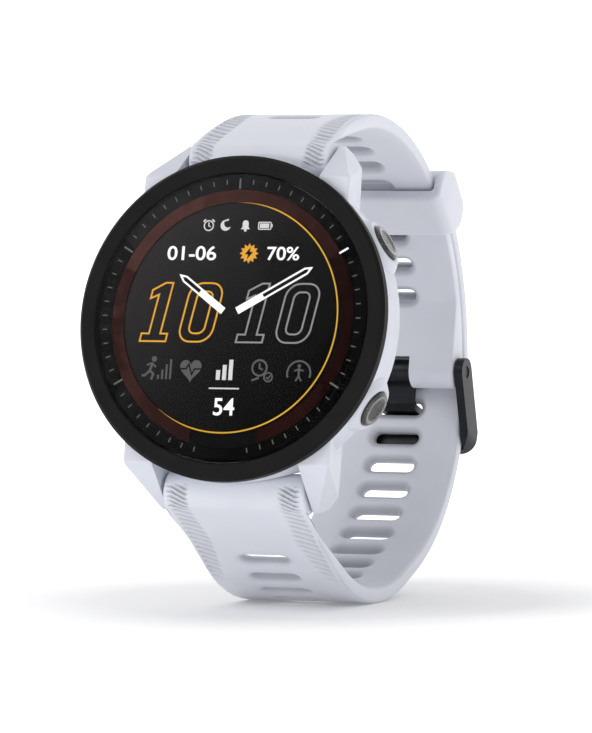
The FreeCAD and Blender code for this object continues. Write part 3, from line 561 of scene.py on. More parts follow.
def make_keeper(material):
    """A rounded band round both straps, broader at the sides than on the inner and outer faces."""
    tunnel_low = LOOP_RADIUS - STRAP_THICKNESS - 0.35
    tunnel_high = TAIL_RADIUS + 0.35
    low = tunnel_low - 2.1
    high = tunnel_high + 1.6
    half_hole = STRAP_HALF + 0.35
    half_out = half_hole + 1.4

    def rounded(x_half, r_low, r_high, corner, turn):
        """Point on a rounded rectangle at a turn, with as many points on each side."""
        centre = (r_low + r_high) / 2
        tall = (r_high - r_low) / 2
        quarter = int(turn // 24)
        place = turn - quarter * 24
        corners = [(x_half - corner, tall - corner), (-(x_half - corner), tall - corner),
                   (-(x_half - corner), -(tall - corner)), (x_half - corner, -(tall - corner))]
        cx, cy = corners[quarter % 4]
        if place <= 8:
            dx, dy = polar(corner, 90 * (quarter % 4) + 90 * place / 8)
            return cx + dx, centre + cy + dy
        nx, ny = corners[(quarter + 1) % 4]
        share = (place - 8) / 16
        dx, dy = polar(corner, 90 * (quarter % 4) + 90)
        return cx + (nx - cx) * share + dx, centre + cy + (ny - cy) * share + dy

    def reach(radius, table):
        for (r0, a0), (r1, a1) in zip(table, table[1:]):
            if radius <= r1 or (r1, a1) == table[-1]:
                return a0 + (a1 - a0) * smooth(r0, r1, radius) if r1 > r0 else a1
        return table[-1][1]

    start_table = [(low, -6.0), (low + 3, -8.1), (LOOP_RADIUS, -8.4), (high, -5.7)]
    stop_table = [(low, 7.7), (LOOP_RADIUS, 8.6), (high, 3.1)]
    around = 96
    soft = 0.62
    bases = ((1, 1), (0, 1), (0, 0), (1, 0))
    wall = [(base, 90.0 * k + 18.0 * i) for k, base in enumerate(bases) for i in range(6)]
    points = []
    for k in range(around):
        outer = rounded(half_out, low, high, 1.7, k)
        inner = rounded(half_hole, tunnel_low, tunnel_high, 0.5, k)
        depth = math.hypot(outer[0] - inner[0], outer[1] - inner[1])
        a0 = reach(outer[1], start_table)
        a1 = reach(outer[1], stop_table)
        span = math.radians(a1 - a0) * outer[1]
        for (far, top), turn in wall:
            rx, ry = polar(soft, turn)
            d = (depth - soft if top else soft) + ry
            run = (span - soft if far else soft) + rx
            share = d / depth
            x = inner[0] + (outer[0] - inner[0]) * share
            r = inner[1] + (outer[1] - inner[1]) * share
            angle = KEEPER_ANGLE + a0 + (a1 - a0) * run / span
            points.append(plane_point(plus(LOOP_CENTRE, polar(r, angle)), x))
    count = len(wall)
    faces = []
    for k in range(around):
        n = (k + 1) % around
        for i in range(count):
            j = (i + 1) % count
            faces.append((k * count + i, k * count + j, n * count + j, n * count + i))
    piece = mesh_piece("keeper_band", points, faces, "keeper", material, 60.0)
    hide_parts("keeper")
    return piece


# ------------------------------------------------------------ dial

def dial_piece(name, shapes, height, material, thick=0.05, at=PICTURE_AT):
    """Flat raised pieces on the dial; shapes are lists of corner lists in the head's x and y."""
    points = []
    faces = []
    for shape in shapes:
        base = len(points)
        count = len(shape)
        points += [head_point(x + at[0], y + at[1], height) for x, y in shape]
        points += [head_point(x + at[0], y + at[1], height + thick) for x, y in shape]
        faces.append(tuple(range(base, base + count)))
        faces.append(tuple(range(base + 2 * count - 1, base + count - 1, -1)))
        faces += [(base + i, base + (i + 1) % count, base + count + (i + 1) % count, base + count + i)
                  for i in range(count)]
    mesh = bpy.data.meshes.new(name)
    mesh.from_pydata([tuple(p) for p in points], [], faces)
    face_outward(mesh)
    return add_piece(name, mesh, "watch", material)


def stroke(line_points, width, closed=False):
    """Quads that draw a line of even width with mitred corners."""
    count = len(line_points)
    sides = []
    for i, p in enumerate(line_points):
        before = line_points[i - 1] if i > 0 or closed else p
        after = line_points[(i + 1) % count] if i < count - 1 or closed else p
        one = minus(p, before)
        two = minus(after, p)
        len_one = math.hypot(*one) or 1.0
        len_two = math.hypot(*two) or 1.0
        one = (one[0] / len_one, one[1] / len_one) if before != p else (two[0] / len_two, two[1] / len_two)
        two = (two[0] / len_two, two[1] / len_two) if after != p else one
        normal = (-(one[1] + two[1]), one[0] + two[0])
        scale = max(0.35, dot(normal, normal) / 2)
        reach = width / 2 / scale
        sides.append((plus(p, (normal[0] * reach, normal[1] * reach)),
                      minus(p, (normal[0] * reach, normal[1] * reach))))
    quads = []
    for i in range(count if closed else count - 1):
        a, b = sides[i], sides[(i + 1) % count]
        quads.append([a[0], a[1], b[1], b[0]])
    return quads


def ring_points(x, y, radius, start=0.0, stop=360.0, count=32):
    closed = abs(stop - start) >= 360
    steps = count if closed else count + 1
    return [plus((x, y), polar(radius, start + (stop - start) * i / count)) for i in range(steps)]


def disc(x, y, radius, count=24):
    return ring_points(x, y, radius, count=count)


def box_shape(x0, y0, x1, y1):
    return [(x0, y0), (x1, y0), (x1, y1), (x0, y1)]


def written(name, text, x, y, height, width, level, material):
    """Plain numbers on the dial, fitted to a box that is centred on x and y."""
    curve = bpy.data.curves.new(name, "FONT")
    curve.body = text
    curve.size = 1.0
    curve.offset = 0.012
    curve.extrude = 0.01
    holder = show(bpy.data.objects.new(name + "_curve", curve))
    graph = bpy.context.evaluated_depsgraph_get()
    mesh = bpy.data.meshes.new_from_object(holder.evaluated_get(graph))
    bpy.data.objects.remove(holder)
    xs = [v.co.x for v in mesh.vertices]
    ys = [v.co.y for v in mesh.vertices]
    wide = width / (max(xs) - min(xs))
    tall = height / (max(ys) - min(ys))
    for v in mesh.vertices:
        px = x + (v.co.x - (max(xs) + min(xs)) / 2) * wide
        py = y + (v.co.y - (max(ys) + min(ys)) / 2) * tall
        v.co = head_point(px + PICTURE_AT[0], py + PICTURE_AT[1], level + v.co.z)
    mesh.materials.clear()
    return add_piece(name, mesh, "watch", material)


def lean(points, x, y, slant=0.2):
    """Moves a numeral to its place and leans it over like an italic."""
    return [(x + px + slant * py, y + py) for px, py in points]


def numeral_one():
    return [(-1.9, -4.2), (-1.9, -3.1), (-0.75, -3.1), (-0.75, 2.5), (-1.9, 1.95), (-1.9, 3.15),
            (-0.1, 4.2), (1.0, 4.2), (1.0, -3.1), (2.1, -3.1), (2.1, -4.2)]


def rounded_box(wide, tall, radius, count=6):
    points = []
    for k, (sx, sy) in enumerate(((1, 1), (-1, 1), (-1, -1), (1, -1))):
        centre = (sx * (wide - radius), sy * (tall - radius))
        points += [plus(centre, polar(radius, 90 * k + 90 * i / count)) for i in range(count + 1)]
    return points


def big_numerals(x_one, x_nought):
    shapes = stroke(lean(numeral_one(), x_one, 0.6), 0.24, True)
    shapes += stroke(lean(rounded_box(2.55, 4.2, 1.9), x_nought, 0.6), 0.24, True)
    shapes += stroke(lean(rounded_box(1.2, 3.0, 0.9), x_nought, 0.6), 0.24, True)
    return shapes


def hand_shapes(start, tip, width, solid):
    """A hand: filled near the centre, and a pointed outline for the rest."""
    along = minus(tip, start)
    length = math.hypot(*along)
    along = (along[0] / length, along[1] / length)
    aside = (-along[1], along[0])

    def at(run, off):
        return start[0] + along[0] * run + aside[0] * off, start[1] + along[1] * run + aside[1] * off

    half = width / 2
    filled = [at(0, half), at(0, -half), at(length * solid, -half), at(length * solid, half)]
    inset = half - 0.13
    blade = [at(length * solid, inset), at(length * solid, -inset), at(length - 1.0, -inset),
             at(length - 0.15, 0), at(length - 1.0, inset)]
    return [filled] + stroke(blade, 0.26, True), blade


def dial_graphics(paint):
    orange, yellow, white, gray, pale = (paint[k] for k in ("orange", "yellow", "white", "gray", "pale"))
    dial_piece("dial_numerals_left", big_numerals(-10.8, -4.4), ON_PANEL, orange)
    dial_piece("dial_numerals_right", big_numerals(4.0, 10.4), ON_PANEL, gray)
    dial_piece("dial_arc", stroke(ring_points(-0.1, 0, ARC_RADIUS, 90, -126, 120), 0.2), ON_PANEL, yellow)
    hour, hour_blade = hand_shapes((-0.95, 0.8), (-7.95, 5.95), 1.05, 0.52)
    minute, minute_blade = hand_shapes((1.15, 0.85), (12.1, 7.1), 1.05, 0.34)
    dial_piece("dial_hand_shade", [hour_blade, minute_blade], ON_PANEL + 0.06, paint["black"])
    dial_piece("dial_hands", hour + minute, ON_PANEL + 0.12, white)
    written("dial_day", "01-06", -6.5, 9.1, 2.05, 7.5, ON_PANEL, white)
    written("dial_charge", "70%", 7.5, 9.1, 1.95, 4.9, ON_PANEL, white)
    written("dial_count", "54", 0.2, -12.8, 2.5, 3.2, ON_PANEL, white)

    clock = stroke(ring_points(-4.2, 13.05, 0.7), 0.17, True)
    clock += stroke([(-4.2, 13.5), (-4.2, 13.0), (-3.9, 12.9)], 0.15)
    clock += stroke([(-5.05, 13.6), (-4.7, 13.95)], 0.2) + stroke([(-3.35, 13.6), (-3.7, 13.95)], 0.2)
    moon = [ring_points(-1.6, 13.1, 0.78, 60, 330, 24) + ring_points(-1.25, 13.4, 0.62, 310, 80, 16)]
    bell = [[(0.75, 12.55), (1.0, 12.9), (1.0, 13.5), (1.15, 13.75), (1.45, 13.85), (1.75, 13.75),
             (1.9, 13.5), (1.9, 12.9), (2.15, 12.55)], disc(1.45, 12.4, 0.2)]
    cell = stroke(lean(rounded_box(0.95, 0.5, 0.15, 3), 4.4, 13.05, 0.0), 0.14, True)
    cell += [box_shape(3.65, 12.72, 5.05, 13.38), box_shape(5.42, 12.85, 5.58, 13.25)]
    dial_piece("dial_status", clock + moon + bell + cell, ON_PANEL, pale)

    star = [plus((2.3, 9.1), polar(1.0 if i % 2 else 1.45, 15.0 * i)) for i in range(24)]
    bolt = [(2.5, 9.95), (1.7, 8.95), (2.2, 8.95), (2.05, 8.25), (2.9, 9.3), (2.4, 9.3)]
    dial_piece("dial_sun", [star], ON_PANEL, orange)
    dial_piece("dial_sun_mark", [bolt], ON_PANEL + 0.06, paint["black"])

    y = -7.5
    runner = [box_shape(-10.4 + 0.62 * i, y - 1.5, -10.1 + 0.62 * i, y - 0.9 + 0.75 * i) for i in range(4)]
    runner += [disc(-11.0, y + 1.35, 0.4)]
    runner += stroke([(-11.2, y + 0.8), (-11.6, y - 0.3), (-11.0, y - 0.8), (-11.3, y - 1.6)], 0.34)
    runner += stroke([(-11.6, y - 0.3), (-12.3, y - 1.0), (-12.8, y - 1.0)], 0.34)
    runner += stroke([(-12.1, y + 0.5), (-11.3, y + 0.75), (-10.7, y + 0.2)], 0.28)
    heart = [plus((-5.3, y - 0.05), (0.112 * 16 * math.sin(t) ** 3 * 0.92,
             0.112 * (13 * math.cos(t) - 5 * math.cos(2 * t) - 2 * math.cos(3 * t) - math.cos(4 * t))))
             for t in [2 * math.pi * i / 40 for i in range(40)]]
    pulse = stroke([(-7.0, y), (-6.0, y), (-5.6, y + 0.7), (-5.1, y - 0.8), (-4.7, y), (-3.6, y)], 0.2)
    gauge = stroke(ring_points(5.2, y + 0.3, 1.1), 0.28, True)
    gauge += stroke([(5.2, y + 0.95), (5.2, y + 0.25), (5.7, y + 0.05)], 0.26)
    gauge += stroke(ring_points(6.6, y - 1.0, 0.62), 0.22, True)
    gauge += stroke([(6.3, y - 1.0), (6.55, y - 1.25), (6.95, y - 0.75)], 0.2)
    gauge += stroke([(4.1, y - 1.5), (5.2, y - 1.1)], 0.28)
    meter = stroke(ring_points(11.2, y - 0.4, 1.75, -20, 200, 28), 0.26)
    meter += stroke([(11.2, y - 0.9), (11.2, y + 0.35)], 0.3) + [disc(11.2, y + 0.65, 0.26)]
    meter += stroke([(10.5, y - 0.05), (11.2, y + 0.2), (11.9, y - 0.05)], 0.22)
    meter += stroke([(10.75, y - 1.5), (11.2, y - 0.8), (11.65, y - 1.5)], 0.24)
    dial_piece("dial_icons", runner + [heart] + gauge + meter, ON_PANEL, paint["dim"])
    dial_piece("dial_pulse", pulse, ON_PANEL + 0.06, paint["black"])
    middle = [box_shape(-1.35 + 0.95 * i, y - 1.5, -0.75 + 0.95 * i, y - 0.1 + 0.75 * i) for i in range(3)]
    dial_piece("dial_metric", middle + [box_shape(-2.3, -10.3, 2.3, -10.1)], ON_PANEL, pale)


def tick_marks(paint):
    faint = []
    bright = []
    for i in range(TICK_COUNT):
        clock = 6.0 * i
        if 170 < clock < 190:
            continue
        long = i % 10 == 0
        inner, outer, half = (18.3, 19.8, 0.14) if long else (19.0, 19.7, 0.08)
        along = polar(1, 90 - clock)
        aside = (-along[1] * half, along[0] * half)
        near = (along[0] * inner, along[1] * inner)
        far = (along[0] * outer, along[1] * outer)
        shape = [plus(near, aside), plus(far, aside), minus(far, aside), minus(near, aside)]
        (bright if i == 10 else faint).append(shape)
    dial_piece("minute_ticks", faint, ON_RING, paint["tick"], 0.01, TICKS_AT)
    dial_piece("minute_tick_two", bright, ON_RING, paint["white"], 0.01, TICKS_AT)


# ------------------------------------------------------------ materials

def new_material(name):
    material = bpy.data.materials.new(name)
    material.use_nodes = True
    tree = material.node_tree
    shader = next(n for n in tree.nodes if n.type == "BSDF_PRINCIPLED")
    return material, tree, shader


def place_nodes(tree, scale=1000.0, turn=(0.0, 0.0, 0.0)):
    """Object coordinates in millimetres, turned if asked."""
    coords = tree.nodes.new("ShaderNodeTexCoord")
    mapping = tree.nodes.new("ShaderNodeMapping")
    mapping.inputs["Scale"].default_value = (scale, scale, scale)
    mapping.inputs["Rotation"].default_value = turn
    tree.links.new(coords.outputs["Object"], mapping.inputs["Vector"])
    return mapping.outputs["Vector"]


def noise_node(tree, vector, scale, detail=3.0):
    node = tree.nodes.new("ShaderNodeTexNoise")
    node.inputs["Scale"].default_value = scale
    node.inputs["Detail"].default_value = detail
    tree.links.new(vector, node.inputs["Vector"])
    return node.outputs["Fac"]


def ramp_node(tree, value, stops):
    node = tree.nodes.new("ShaderNodeValToRGB")
    ramp = node.color_ramp
    ramp.elements[0].position, ramp.elements[0].color = stops[0][0], (*stops[0][1], 1)
    ramp.elements[1].position, ramp.elements[1].color = stops[-1][0], (*stops[-1][1], 1)
    for position, colour in stops[1:-1]:
        ramp.elements.new(position).color = (*colour, 1)
    tree.links.new(value, node.inputs["Fac"])
    return node.outputs["Color"]


def axes(tree, vector):
    split = tree.nodes.new("ShaderNodeSeparateXYZ")
    tree.links.new(vector, split.inputs["Vector"])
    return split.outputs["X"], split.outputs["Y"], split.outputs["Z"]


def roughen(tree, shader, value, low, high, ends=(0.3, 0.7)):
    """Roughness that follows a texture between two levels."""
    worn = ramp_node(tree, value, [(ends[0], (low,) * 3), (ends[1], (high,) * 3)])
    tree.links.new(worn, shader.inputs["Roughness"])


def math_node(tree, operation, a, b=0.0):
    node = tree.nodes.new("ShaderNodeMath")
    node.operation = operation
    for socket, value in zip(node.inputs, (a, b)):
        if isinstance(value, (int, float)):
            socket.default_value = value
        else:
            tree.links.new(value, socket)
    return node.outputs[0]


def bump_node(tree, shader, height, strength, distance):
    node = tree.nodes.new("ShaderNodeBump")
    node.inputs["Strength"].default_value = strength
    node.inputs["Distance"].default_value = distance
    tree.links.new(height, node.inputs["Height"])
    tree.links.new(node.outputs["Normal"], shader.inputs["Normal"])


def tinted(colour, factor):
    return tuple(min(1.0, c * factor) for c in colour)


def moulded(name, colour, rough, grain, depth, mottle=0.04, groove_shade=0.0, **sockets):
    """Moulded polymer: slight mottling, a fine spark-eroded grain and roughness that varies.

    The argument after mottle is painted shade: how much darker the colour is at the bottom of its grooves
    and slot recesses."""
    material, tree, shader = new_material(name)
    vector = place_nodes(tree)
    wide = noise_node(tree, vector, 0.22, 2.0)
    fine = noise_node(tree, vector, grain, 2.0)
    shade = ramp_node(tree, wide, [(0.3, tinted(colour, 1 - mottle)), (0.7, tinted(colour, 1 + mottle))])
    # Painted shade: the colour darkens with the groove attribute, most at the bottom of grooves and slot
    # recesses.
    if groove_shade:
        groove = tree.nodes.new("ShaderNodeAttribute")
        groove.attribute_name = "groove"
        blend = tree.nodes.new("ShaderNodeMix")
        blend.data_type = "RGBA"
        tree.links.new(groove.outputs["Fac"], blend.inputs["Factor"])
        tree.links.new(shade, blend.inputs["A"])
        dark = [(0.3, tinted(colour, 1 - groove_shade)), (0.7, tinted(colour, 1.04 - groove_shade))]
        tree.links.new(ramp_node(tree, wide, dark), blend.inputs["B"])
        shade = blend.outputs["Result"]
    tree.links.new(shade, shader.inputs["Base Color"])
    roughen(tree, shader, fine, rough - 0.06, rough + 0.06)
    bump_node(tree, shader, fine, 0.35, depth * MM)
    for socket, value in sockets.items():
        shader.inputs[socket.replace("_", " ")].default_value = value
    return material


def metal(name, colour, rough, stretch=(1.0, 1.0, 1.0), depth=0.004, turn=(0.0, 0.0, 0.0)):
    """Metal with fine brushing drawn out along one direction."""
    material, tree, shader = new_material(name)
    vector = place_nodes(tree, 1000.0, turn)
    drawn = tree.nodes.new("ShaderNodeMapping")
    drawn.inputs["Scale"].default_value = stretch
    tree.links.new(vector, drawn.inputs["Vector"])
    brushed = noise_node(tree, drawn.outputs["Vector"], 5.0, 4.0)
    cloud = noise_node(tree, vector, 0.6, 2.0)
    shade = ramp_node(tree, cloud, [(0.3, tinted(colour, 0.85)), (0.7, tinted(colour, 1.15))])
    tree.links.new(shade, shader.inputs["Base Color"])
    roughen(tree, shader, brushed, rough - 0.08, rough + 0.1, (0.25, 0.75))
    shader.inputs["Metallic"].default_value = 1.0
    bump_node(tree, shader, brushed, 0.4, depth * MM)
    return material


def cap_metal(name, clock):
    """Button cap: rings turned about the button's own axis, with a painted highlight, a light ring in the
    colour part way out from the centre.
    """
    material, tree, shader = new_material(name)
    turn = math.radians(90 - clock)
    coords = tree.nodes.new("ShaderNodeTexCoord")
    to_head = tree.nodes.new("ShaderNodeMapping")
    to_head.inputs["Rotation"].default_value = (-(math.pi / 2 - FACE_TILT), 0, 0)
    to_head.inputs["Scale"].default_value = (1000, 1000, 1000)
    tree.links.new(coords.outputs["Object"], to_head.inputs["Vector"])
    to_button = tree.nodes.new("ShaderNodeMapping")
    to_button.inputs["Location"].default_value = (0, 0, -8.5)
    to_button.inputs["Rotation"].default_value = (0, 0, -turn)
    tree.links.new(to_head.outputs["Vector"], to_button.inputs["Vector"])
    x, y, z = axes(tree, to_button.outputs["Vector"])
    y2 = math_node(tree, "MULTIPLY", y, y)
    z2 = math_node(tree, "MULTIPLY", z, z)
    radius = math_node(tree, "SQRT", math_node(tree, "ADD", y2, z2))
    rings = math_node(tree, "SINE", math_node(tree, "MULTIPLY", radius, 2 * math.pi / 0.16))
    # Painted highlight: the colour is lighter in a ring part way out, where the domed cap catches light.
    shade = ramp_node(tree, math_node(tree, "DIVIDE", radius, 3.0),
                      [(0.0, (0.035, 0.035, 0.035)), (0.5, (0.05, 0.05, 0.05)), (0.68, (0.26, 0.26, 0.255)),
                       (0.78, (0.10, 0.10, 0.098)), (1.0, (0.05, 0.05, 0.05))])
    tree.links.new(shade, shader.inputs["Base Color"])
    grain = noise_node(tree, to_head.outputs["Vector"], 3.0, 3.0)
    roughen(tree, shader, grain, 0.22, 0.34)
    shader.inputs["Metallic"].default_value = 1.0
    bump_node(tree, shader, rings, 0.5, 0.01 * MM)
    return material


def case_plastic(name, colour):
    """Case polymer with a fine knurled patch on the side between the right-hand buttons."""
    material, tree, shader = new_material(name)
    vector = place_nodes(tree, 1000.0, (-(math.pi / 2 - FACE_TILT), 0, 0))
    x, y, z = axes(tree, vector)
    wide = noise_node(tree, vector, 0.22, 2.0)
    fine = noise_node(tree, vector, 6.0, 2.0)
    shade = ramp_node(tree, wide, [(0.3, tinted(colour, 0.97)), (0.7, tinted(colour, 1.03))])
    tree.links.new(shade, shader.inputs["Base Color"])
    roughen(tree, shader, fine, 0.4, 0.52)
    along = math_node(tree, "SINE", math_node(tree, "MULTIPLY", y, 2 * math.pi / KNURL_PITCH))
    across = math_node(tree, "SINE", math_node(tree, "MULTIPLY", z, 2 * math.pi / KNURL_PITCH))
    knurl = math_node(tree, "MULTIPLY", along, across)
    in_y = math_node(tree, "LESS_THAN", math_node(tree, "ABSOLUTE", y), KNURL_HALF_LENGTH)
    above = math_node(tree, "SUBTRACT", z, KNURL_HEIGHT)
    in_z = math_node(tree, "LESS_THAN", math_node(tree, "ABSOLUTE", above), KNURL_HALF_HEIGHT)
    in_x = math_node(tree, "GREATER_THAN", x, 15.0)
    mask = math_node(tree, "MULTIPLY", math_node(tree, "MULTIPLY", in_y, in_z), in_x)
    dots = math_node(tree, "MULTIPLY", knurl, mask)
    grain = math_node(tree, "MULTIPLY", fine, 0.06)
    bump_node(tree, shader, math_node(tree, "ADD", dots, grain), 1.0, 0.07 * MM)
    shader.inputs["Specular IOR Level"].default_value = 0.4
    return material


def lens_glass(name):
    """Clear coated cover glass: see-through, with a thin reflection that grows at low angles."""
    material = bpy.data.materials.new(name)
    material.use_nodes = True
    tree = material.node_tree
    tree.nodes.clear()
    out = tree.nodes.new("ShaderNodeOutputMaterial")
    mix = tree.nodes.new("ShaderNodeMixShader")
    clear = tree.nodes.new("ShaderNodeBsdfTransparent")
    gloss = tree.nodes.new("ShaderNodeBsdfGlossy")
    edge = tree.nodes.new("ShaderNodeFresnel")
    edge.inputs["IOR"].default_value = 1.12
    vector = place_nodes(tree)
    smear = noise_node(tree, vector, 0.25, 2.0)
    roughen(tree, gloss, smear, 0.02, 0.05, (0.35, 0.75))
    tree.links.new(edge.outputs[0], mix.inputs[0])
    tree.links.new(clear.outputs[0], mix.inputs[1])
    tree.links.new(gloss.outputs[0], mix.inputs[2])
    tree.links.new(mix.outputs[0], out.inputs["Surface"])
    return material


def painted_sheen_panel(name, light, dark, rough, gap=False):
    """Dial surface with a painted reflection: its colour is lighter at the upper left and darker to the
    lower right.
    """
    material, tree, shader = new_material(name)
    vector = place_nodes(tree, 1000.0, (-(math.pi / 2 - FACE_TILT), 0, 0))
    x, y, z = axes(tree, vector)
    # Painted reflection: a fixed gradient across the face stands in for the cover glass's sheen.
    slope = math_node(tree, "ADD", x, math_node(tree, "MULTIPLY", y, -0.8))
    place = math_node(tree, "ADD", math_node(tree, "MULTIPLY", slope, 1 / 52.0), 0.5)
    cloud = noise_node(tree, vector, 0.12, 2.0)
    drift = math_node(tree, "MULTIPLY", math_node(tree, "SUBTRACT", cloud, 0.5), 0.12)
    place = math_node(tree, "ADD", place, drift)
    shade = ramp_node(tree, place, [(0.1, light), (0.5, lerp3(light, dark, 0.7)), (0.85, dark)])
    if gap:
        low = math_node(tree, "LESS_THAN", y, 0.0)
        narrow = math_node(tree, "LESS_THAN", math_node(tree, "ABSOLUTE", x), 5.1)
        inside = math_node(tree, "MULTIPLY", low, narrow)
        mix = tree.nodes.new("ShaderNodeMix")
        mix.data_type = "RGBA"
        tree.links.new(inside, mix.inputs["Factor"])
        tree.links.new(shade, mix.inputs["A"])
        mix.inputs["B"].default_value = (0.004, 0.004, 0.004, 1)
        shade = mix.outputs["Result"]
    tree.links.new(shade, shader.inputs["Base Color"])
    fine = noise_node(tree, vector, 9.0, 2.0)
    roughen(tree, shader, fine, rough - 0.05, rough + 0.05)
    shader.inputs["Specular IOR Level"].default_value = 0.03
    return material


def lerp3(p, q, t):
    return tuple(a + (b - a) * t for a, b in zip(p, q))


def ink(name, colour, glow):
    """Marks of the display or printed marks, with a faint grain and a painted glow: an emission that
    brightens them though they are no lamp.
    """
    material, tree, shader = new_material(name)
    vector = place_nodes(tree)
    fine = noise_node(tree, vector, 7.0, 1.0)
    shade = ramp_node(tree, fine, [(0.3, tinted(colour, 0.92)), (0.7, tinted(colour, 1.05))])
    tree.links.new(shade, shader.inputs["Base Color"])
    tree.links.new(shade, shader.inputs["Emission Color"])
    # Painted light: the marks glow by this emission though they are no lamp.
    shader.inputs["Emission Strength"].default_value = glow
    shader.inputs["Roughness"].default_value = 0.6
    shader.inputs["Specular IOR Level"].default_value = 0.1
    return material


# Silicone; its 0.33 is painted shade at the bottom of the grooves and slot recesses.
silicone = moulded("silicone", (0.665, 0.685, 0.745), 0.5, 8.0, 0.02, 0.015, 0.33,
                   Specular_IOR_Level=0.35, Sheen_Weight=0.15, Sheen_Roughness=0.5)
case_white = case_plastic("case_polymer", (0.62, 0.64, 0.70))
gunmetal = metal("gunmetal", (0.03, 0.032, 0.035), 0.42, (1.0, 6.0, 6.0))
steel = metal("steel", (0.6, 0.6, 0.6), 0.3, (1.0, 5.0, 5.0))
kinds = {
    "silicone": silicone,
    "case_polymer": case_white,
    "bezel_polymer": moulded("bezel_polymer", (0.009, 0.009, 0.0092), 0.45, 5.0, 0.03, 0.12,
                             Specular_IOR_Level=0.06),
    "lens": lens_glass("lens"),
    # These three dial surfaces carry a painted reflection, lighter at the upper left.
    "ring_print": painted_sheen_panel("ring_print", (0.022, 0.022, 0.022), (0.001, 0.001, 0.001), 0.5),
    "solar_cell": painted_sheen_panel("solar_cell", (0.075, 0.034, 0.030), (0.018, 0.004, 0.003), 0.45, True),
    "display": painted_sheen_panel("display", (0.030, 0.028, 0.028), (0.0008, 0.0008, 0.0008), 0.4),
    "gunmetal": gunmetal,
    "steel": steel,
    "aluminium_frame": metal("aluminium_frame", (0.62, 0.63, 0.65), 0.35, (1.0, 3.0, 1.0)),
    "board": moulded("board", (0.02, 0.12, 0.05), 0.4, 2.0, 0.02, 0.2),
    "cell_wrap": metal("cell_wrap", (0.35, 0.36, 0.38), 0.45, (2.0, 1.0, 1.0)),
    "seal": moulded("seal", (0.02, 0.02, 0.02), 0.6, 6.0, 0.02, 0.1),
    "rear_polymer": moulded("rear_polymer", (0.02, 0.02, 0.022), 0.5, 5.0, 0.03, 0.1),
    "sensor_glass": moulded("sensor_glass", (0.006, 0.006, 0.008), 0.12, 1.0, 0.002, 0.1, Coat_Weight=0.6),
    "gold_contact": metal("gold_contact", (0.85, 0.62, 0.28), 0.22),
    "led": moulded("led", (0.45, 0.62, 0.35), 0.3, 2.0, 0.01, 0.1),
}
for name, node in nodes.items():
    node.data.materials.clear()
    node.data.materials.append(kinds[slots[name]])
    node.data.shade_smooth()
    node.data.set_sharp_from_angle(angle=math.radians(32))
for name, clock in (("start", 60.0), ("back", 120.0), ("down", 240.0), ("up", 270.0), ("light", 300.0)):
    cap = nodes["button_" + name]
    cap.data.materials.clear()
    cap.data.materials.append(cap_metal("cap_" + name, clock))

# The last number of each ink is a painted glow, light from marks that are no lamp.
paint = {
    "orange": ink("ink_orange", (0.62, 0.31, 0.035), 0.3),
    "yellow": ink("ink_yellow", (0.6, 0.34, 0.03), 0.3),
    "white": ink("ink_white", (0.85, 0.85, 0.85), 0.35),
    "gray": ink("ink_gray", (0.24, 0.24, 0.245), 0.25),
    "dim": ink("ink_dim", (0.09, 0.09, 0.092), 0.2),
    "pale": ink("ink_pale", (0.55, 0.55, 0.55), 0.3),
    "tick": ink("ink_tick", (0.12, 0.12, 0.12), 0.1),
    "black": ink("ink_black", (0.003, 0.003, 0.003), 0.0),
}

make_upper(silicone)
make_lower(silicone)
make_keeper(silicone)
dial_graphics(paint)
tick_marks(paint)

# ------------------------------------------------------------ floor, light and camera

floor_z = cad_box[0].z


def make_backdrop():
    """Pale paper sweep: a flat floor that curves up into a wall behind the watch."""
    profile = [(-2.0, floor_z), (0.9, floor_z)]
    profile += [(0.9 + 0.5 * math.sin(t), floor_z + 0.5 * (1 - math.cos(t)))
                for t in [math.pi / 2 * i / 16 for i in range(1, 17)]]
    profile += [(1.4, floor_z + 2.4)]
    points = [(x, y, z) for x in (-2.5, 2.5) for y, z in profile]
    count = len(profile)
    faces = [(i, i + 1, count + i + 1, count + i) for i in range(count - 1)]
    mesh = bpy.data.meshes.new("backdrop")
    mesh.from_pydata(points, [], faces)
    mesh.shade_smooth()
    material, tree, shader = new_material("backdrop_paper")
    vector = place_nodes(tree)
    pulp = noise_node(tree, vector, 0.02, 2.0)
    shade = ramp_node(tree, pulp, [(0.3, (0.84, 0.84, 0.845)), (0.7, (0.86, 0.86, 0.862))])
    tree.links.new(shade, shader.inputs["Base Color"])
    shader.inputs["Roughness"].default_value = 0.8
    shader.inputs["Specular IOR Level"].default_value = 0.1
    x, y, z = axes(tree, vector)
    x2 = math_node(tree, "MULTIPLY", x, x)
    away = math_node(tree, "SUBTRACT", y, 20.0)
    y2 = math_node(tree, "MULTIPLY", away, away)
    reach = math_node(tree, "SQRT", math_node(tree, "ADD", x2, y2))
    glow = ramp_node(tree, math_node(tree, "DIVIDE", reach, 400.0),
                     [(0.08, (0.10, 0.10, 0.10)), (0.2, (0.55, 0.55, 0.55)), (1.0, (0.75, 0.75, 0.75))])
    tree.links.new(glow, shader.inputs["Emission Color"])
    shader.inputs["Emission Strength"].default_value = 1.0
    mesh.materials.append(material)
    backdrop = show(bpy.data.objects.new("backdrop", mesh))


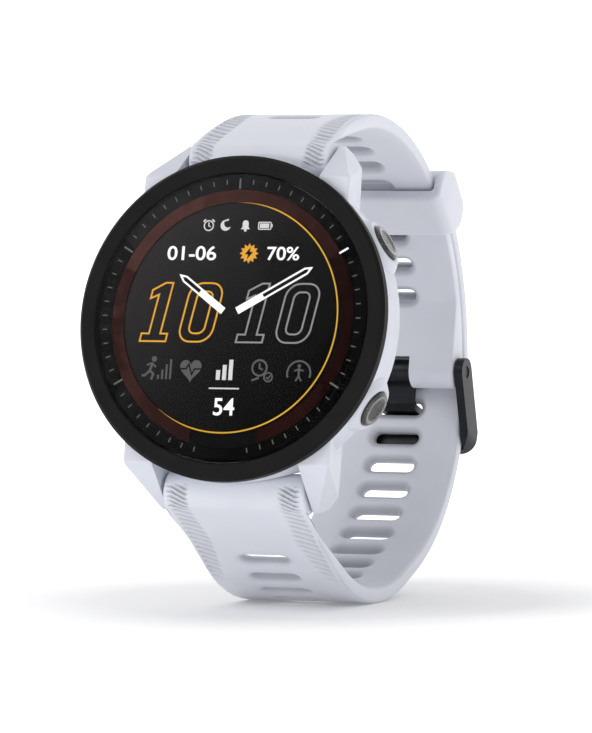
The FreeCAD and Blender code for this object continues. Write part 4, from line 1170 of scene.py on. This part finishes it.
def make_studio():
    """Soft light from all round, brighter above and behind."""
    world = bpy.data.worlds.new("studio")
    world.use_nodes = True
    bpy.context.scene.world = world
    tree = world.node_tree
    background = next(n for n in tree.nodes if n.type == "BACKGROUND")
    coords = tree.nodes.new("ShaderNodeTexCoord")
    x, y, z = axes(tree, coords.outputs["Generated"])
    both = math_node(tree, "ADD", y, z)
    place = math_node(tree, "ADD", math_node(tree, "MULTIPLY", both, 0.35), 0.5)
    glow = ramp_node(tree, place, [(0.2, (0.38, 0.38, 0.385)), (0.8, (0.62, 0.62, 0.63))])
    tree.links.new(glow, background.inputs["Color"])
    background.inputs["Strength"].default_value = 1.0


def area_light(name, position, target, size, power):
    lamp = bpy.data.lights.new(name, "AREA")
    lamp.shape = "RECTANGLE"
    lamp.size, lamp.size_y = size
    lamp.energy = power
    holder = show(bpy.data.objects.new(name, lamp))
    holder.location = position
    holder.rotation_euler = (Vector(target) - Vector(position)).to_track_quat("-Z", "Y").to_euler()


make_backdrop()
make_studio()
area_light("key", (-0.30, -0.50, 0.42), (0, 0, 0), (0.35, 0.35), 1.1)
area_light("front", (-0.05, -0.7, -0.01), (0, 0, -0.02), (0.4, 0.05), 0.95)
area_light("top", (0.0, 0.12, 0.6), (0, 0.01, 0), (0.5, 0.4), 0.32)
area_light("side", (0.5, -0.28, 0.08), (0, 0.04, 0), (0.2, 0.4), 0.2)

bpy.context.scene.view_settings.view_transform = "Standard"

def make_camera():
    """A camera far off to the watch's right and level with it, that looks past the face's centre."""
    right = Vector((math.cos(CAMERA_AZIMUTH), math.sin(CAMERA_AZIMUTH), 0))
    level = math.cos(CAMERA_ELEVATION)
    back = Vector((math.sin(CAMERA_AZIMUTH) * level, -math.cos(CAMERA_AZIMUTH) * level,
                   math.sin(CAMERA_ELEVATION)))
    up = back.cross(right)
    face = head_point(0, 0, HEAD_THICKNESS)
    aim = face + right * AIM_RIGHT * MM - up * AIM_DOWN * MM
    data = bpy.data.cameras.new("camera")
    data.sensor_width = 36.0
    data.lens = CAMERA_LENS
    data.clip_end = 20.0
    camera = show(bpy.data.objects.new("camera", data))
    camera.location = face + back * CAMERA_DISTANCE * MM
    camera.rotation_euler = (aim - camera.location).to_track_quat("-Z", "Y").to_euler()
    bpy.context.scene.camera = camera


make_camera()
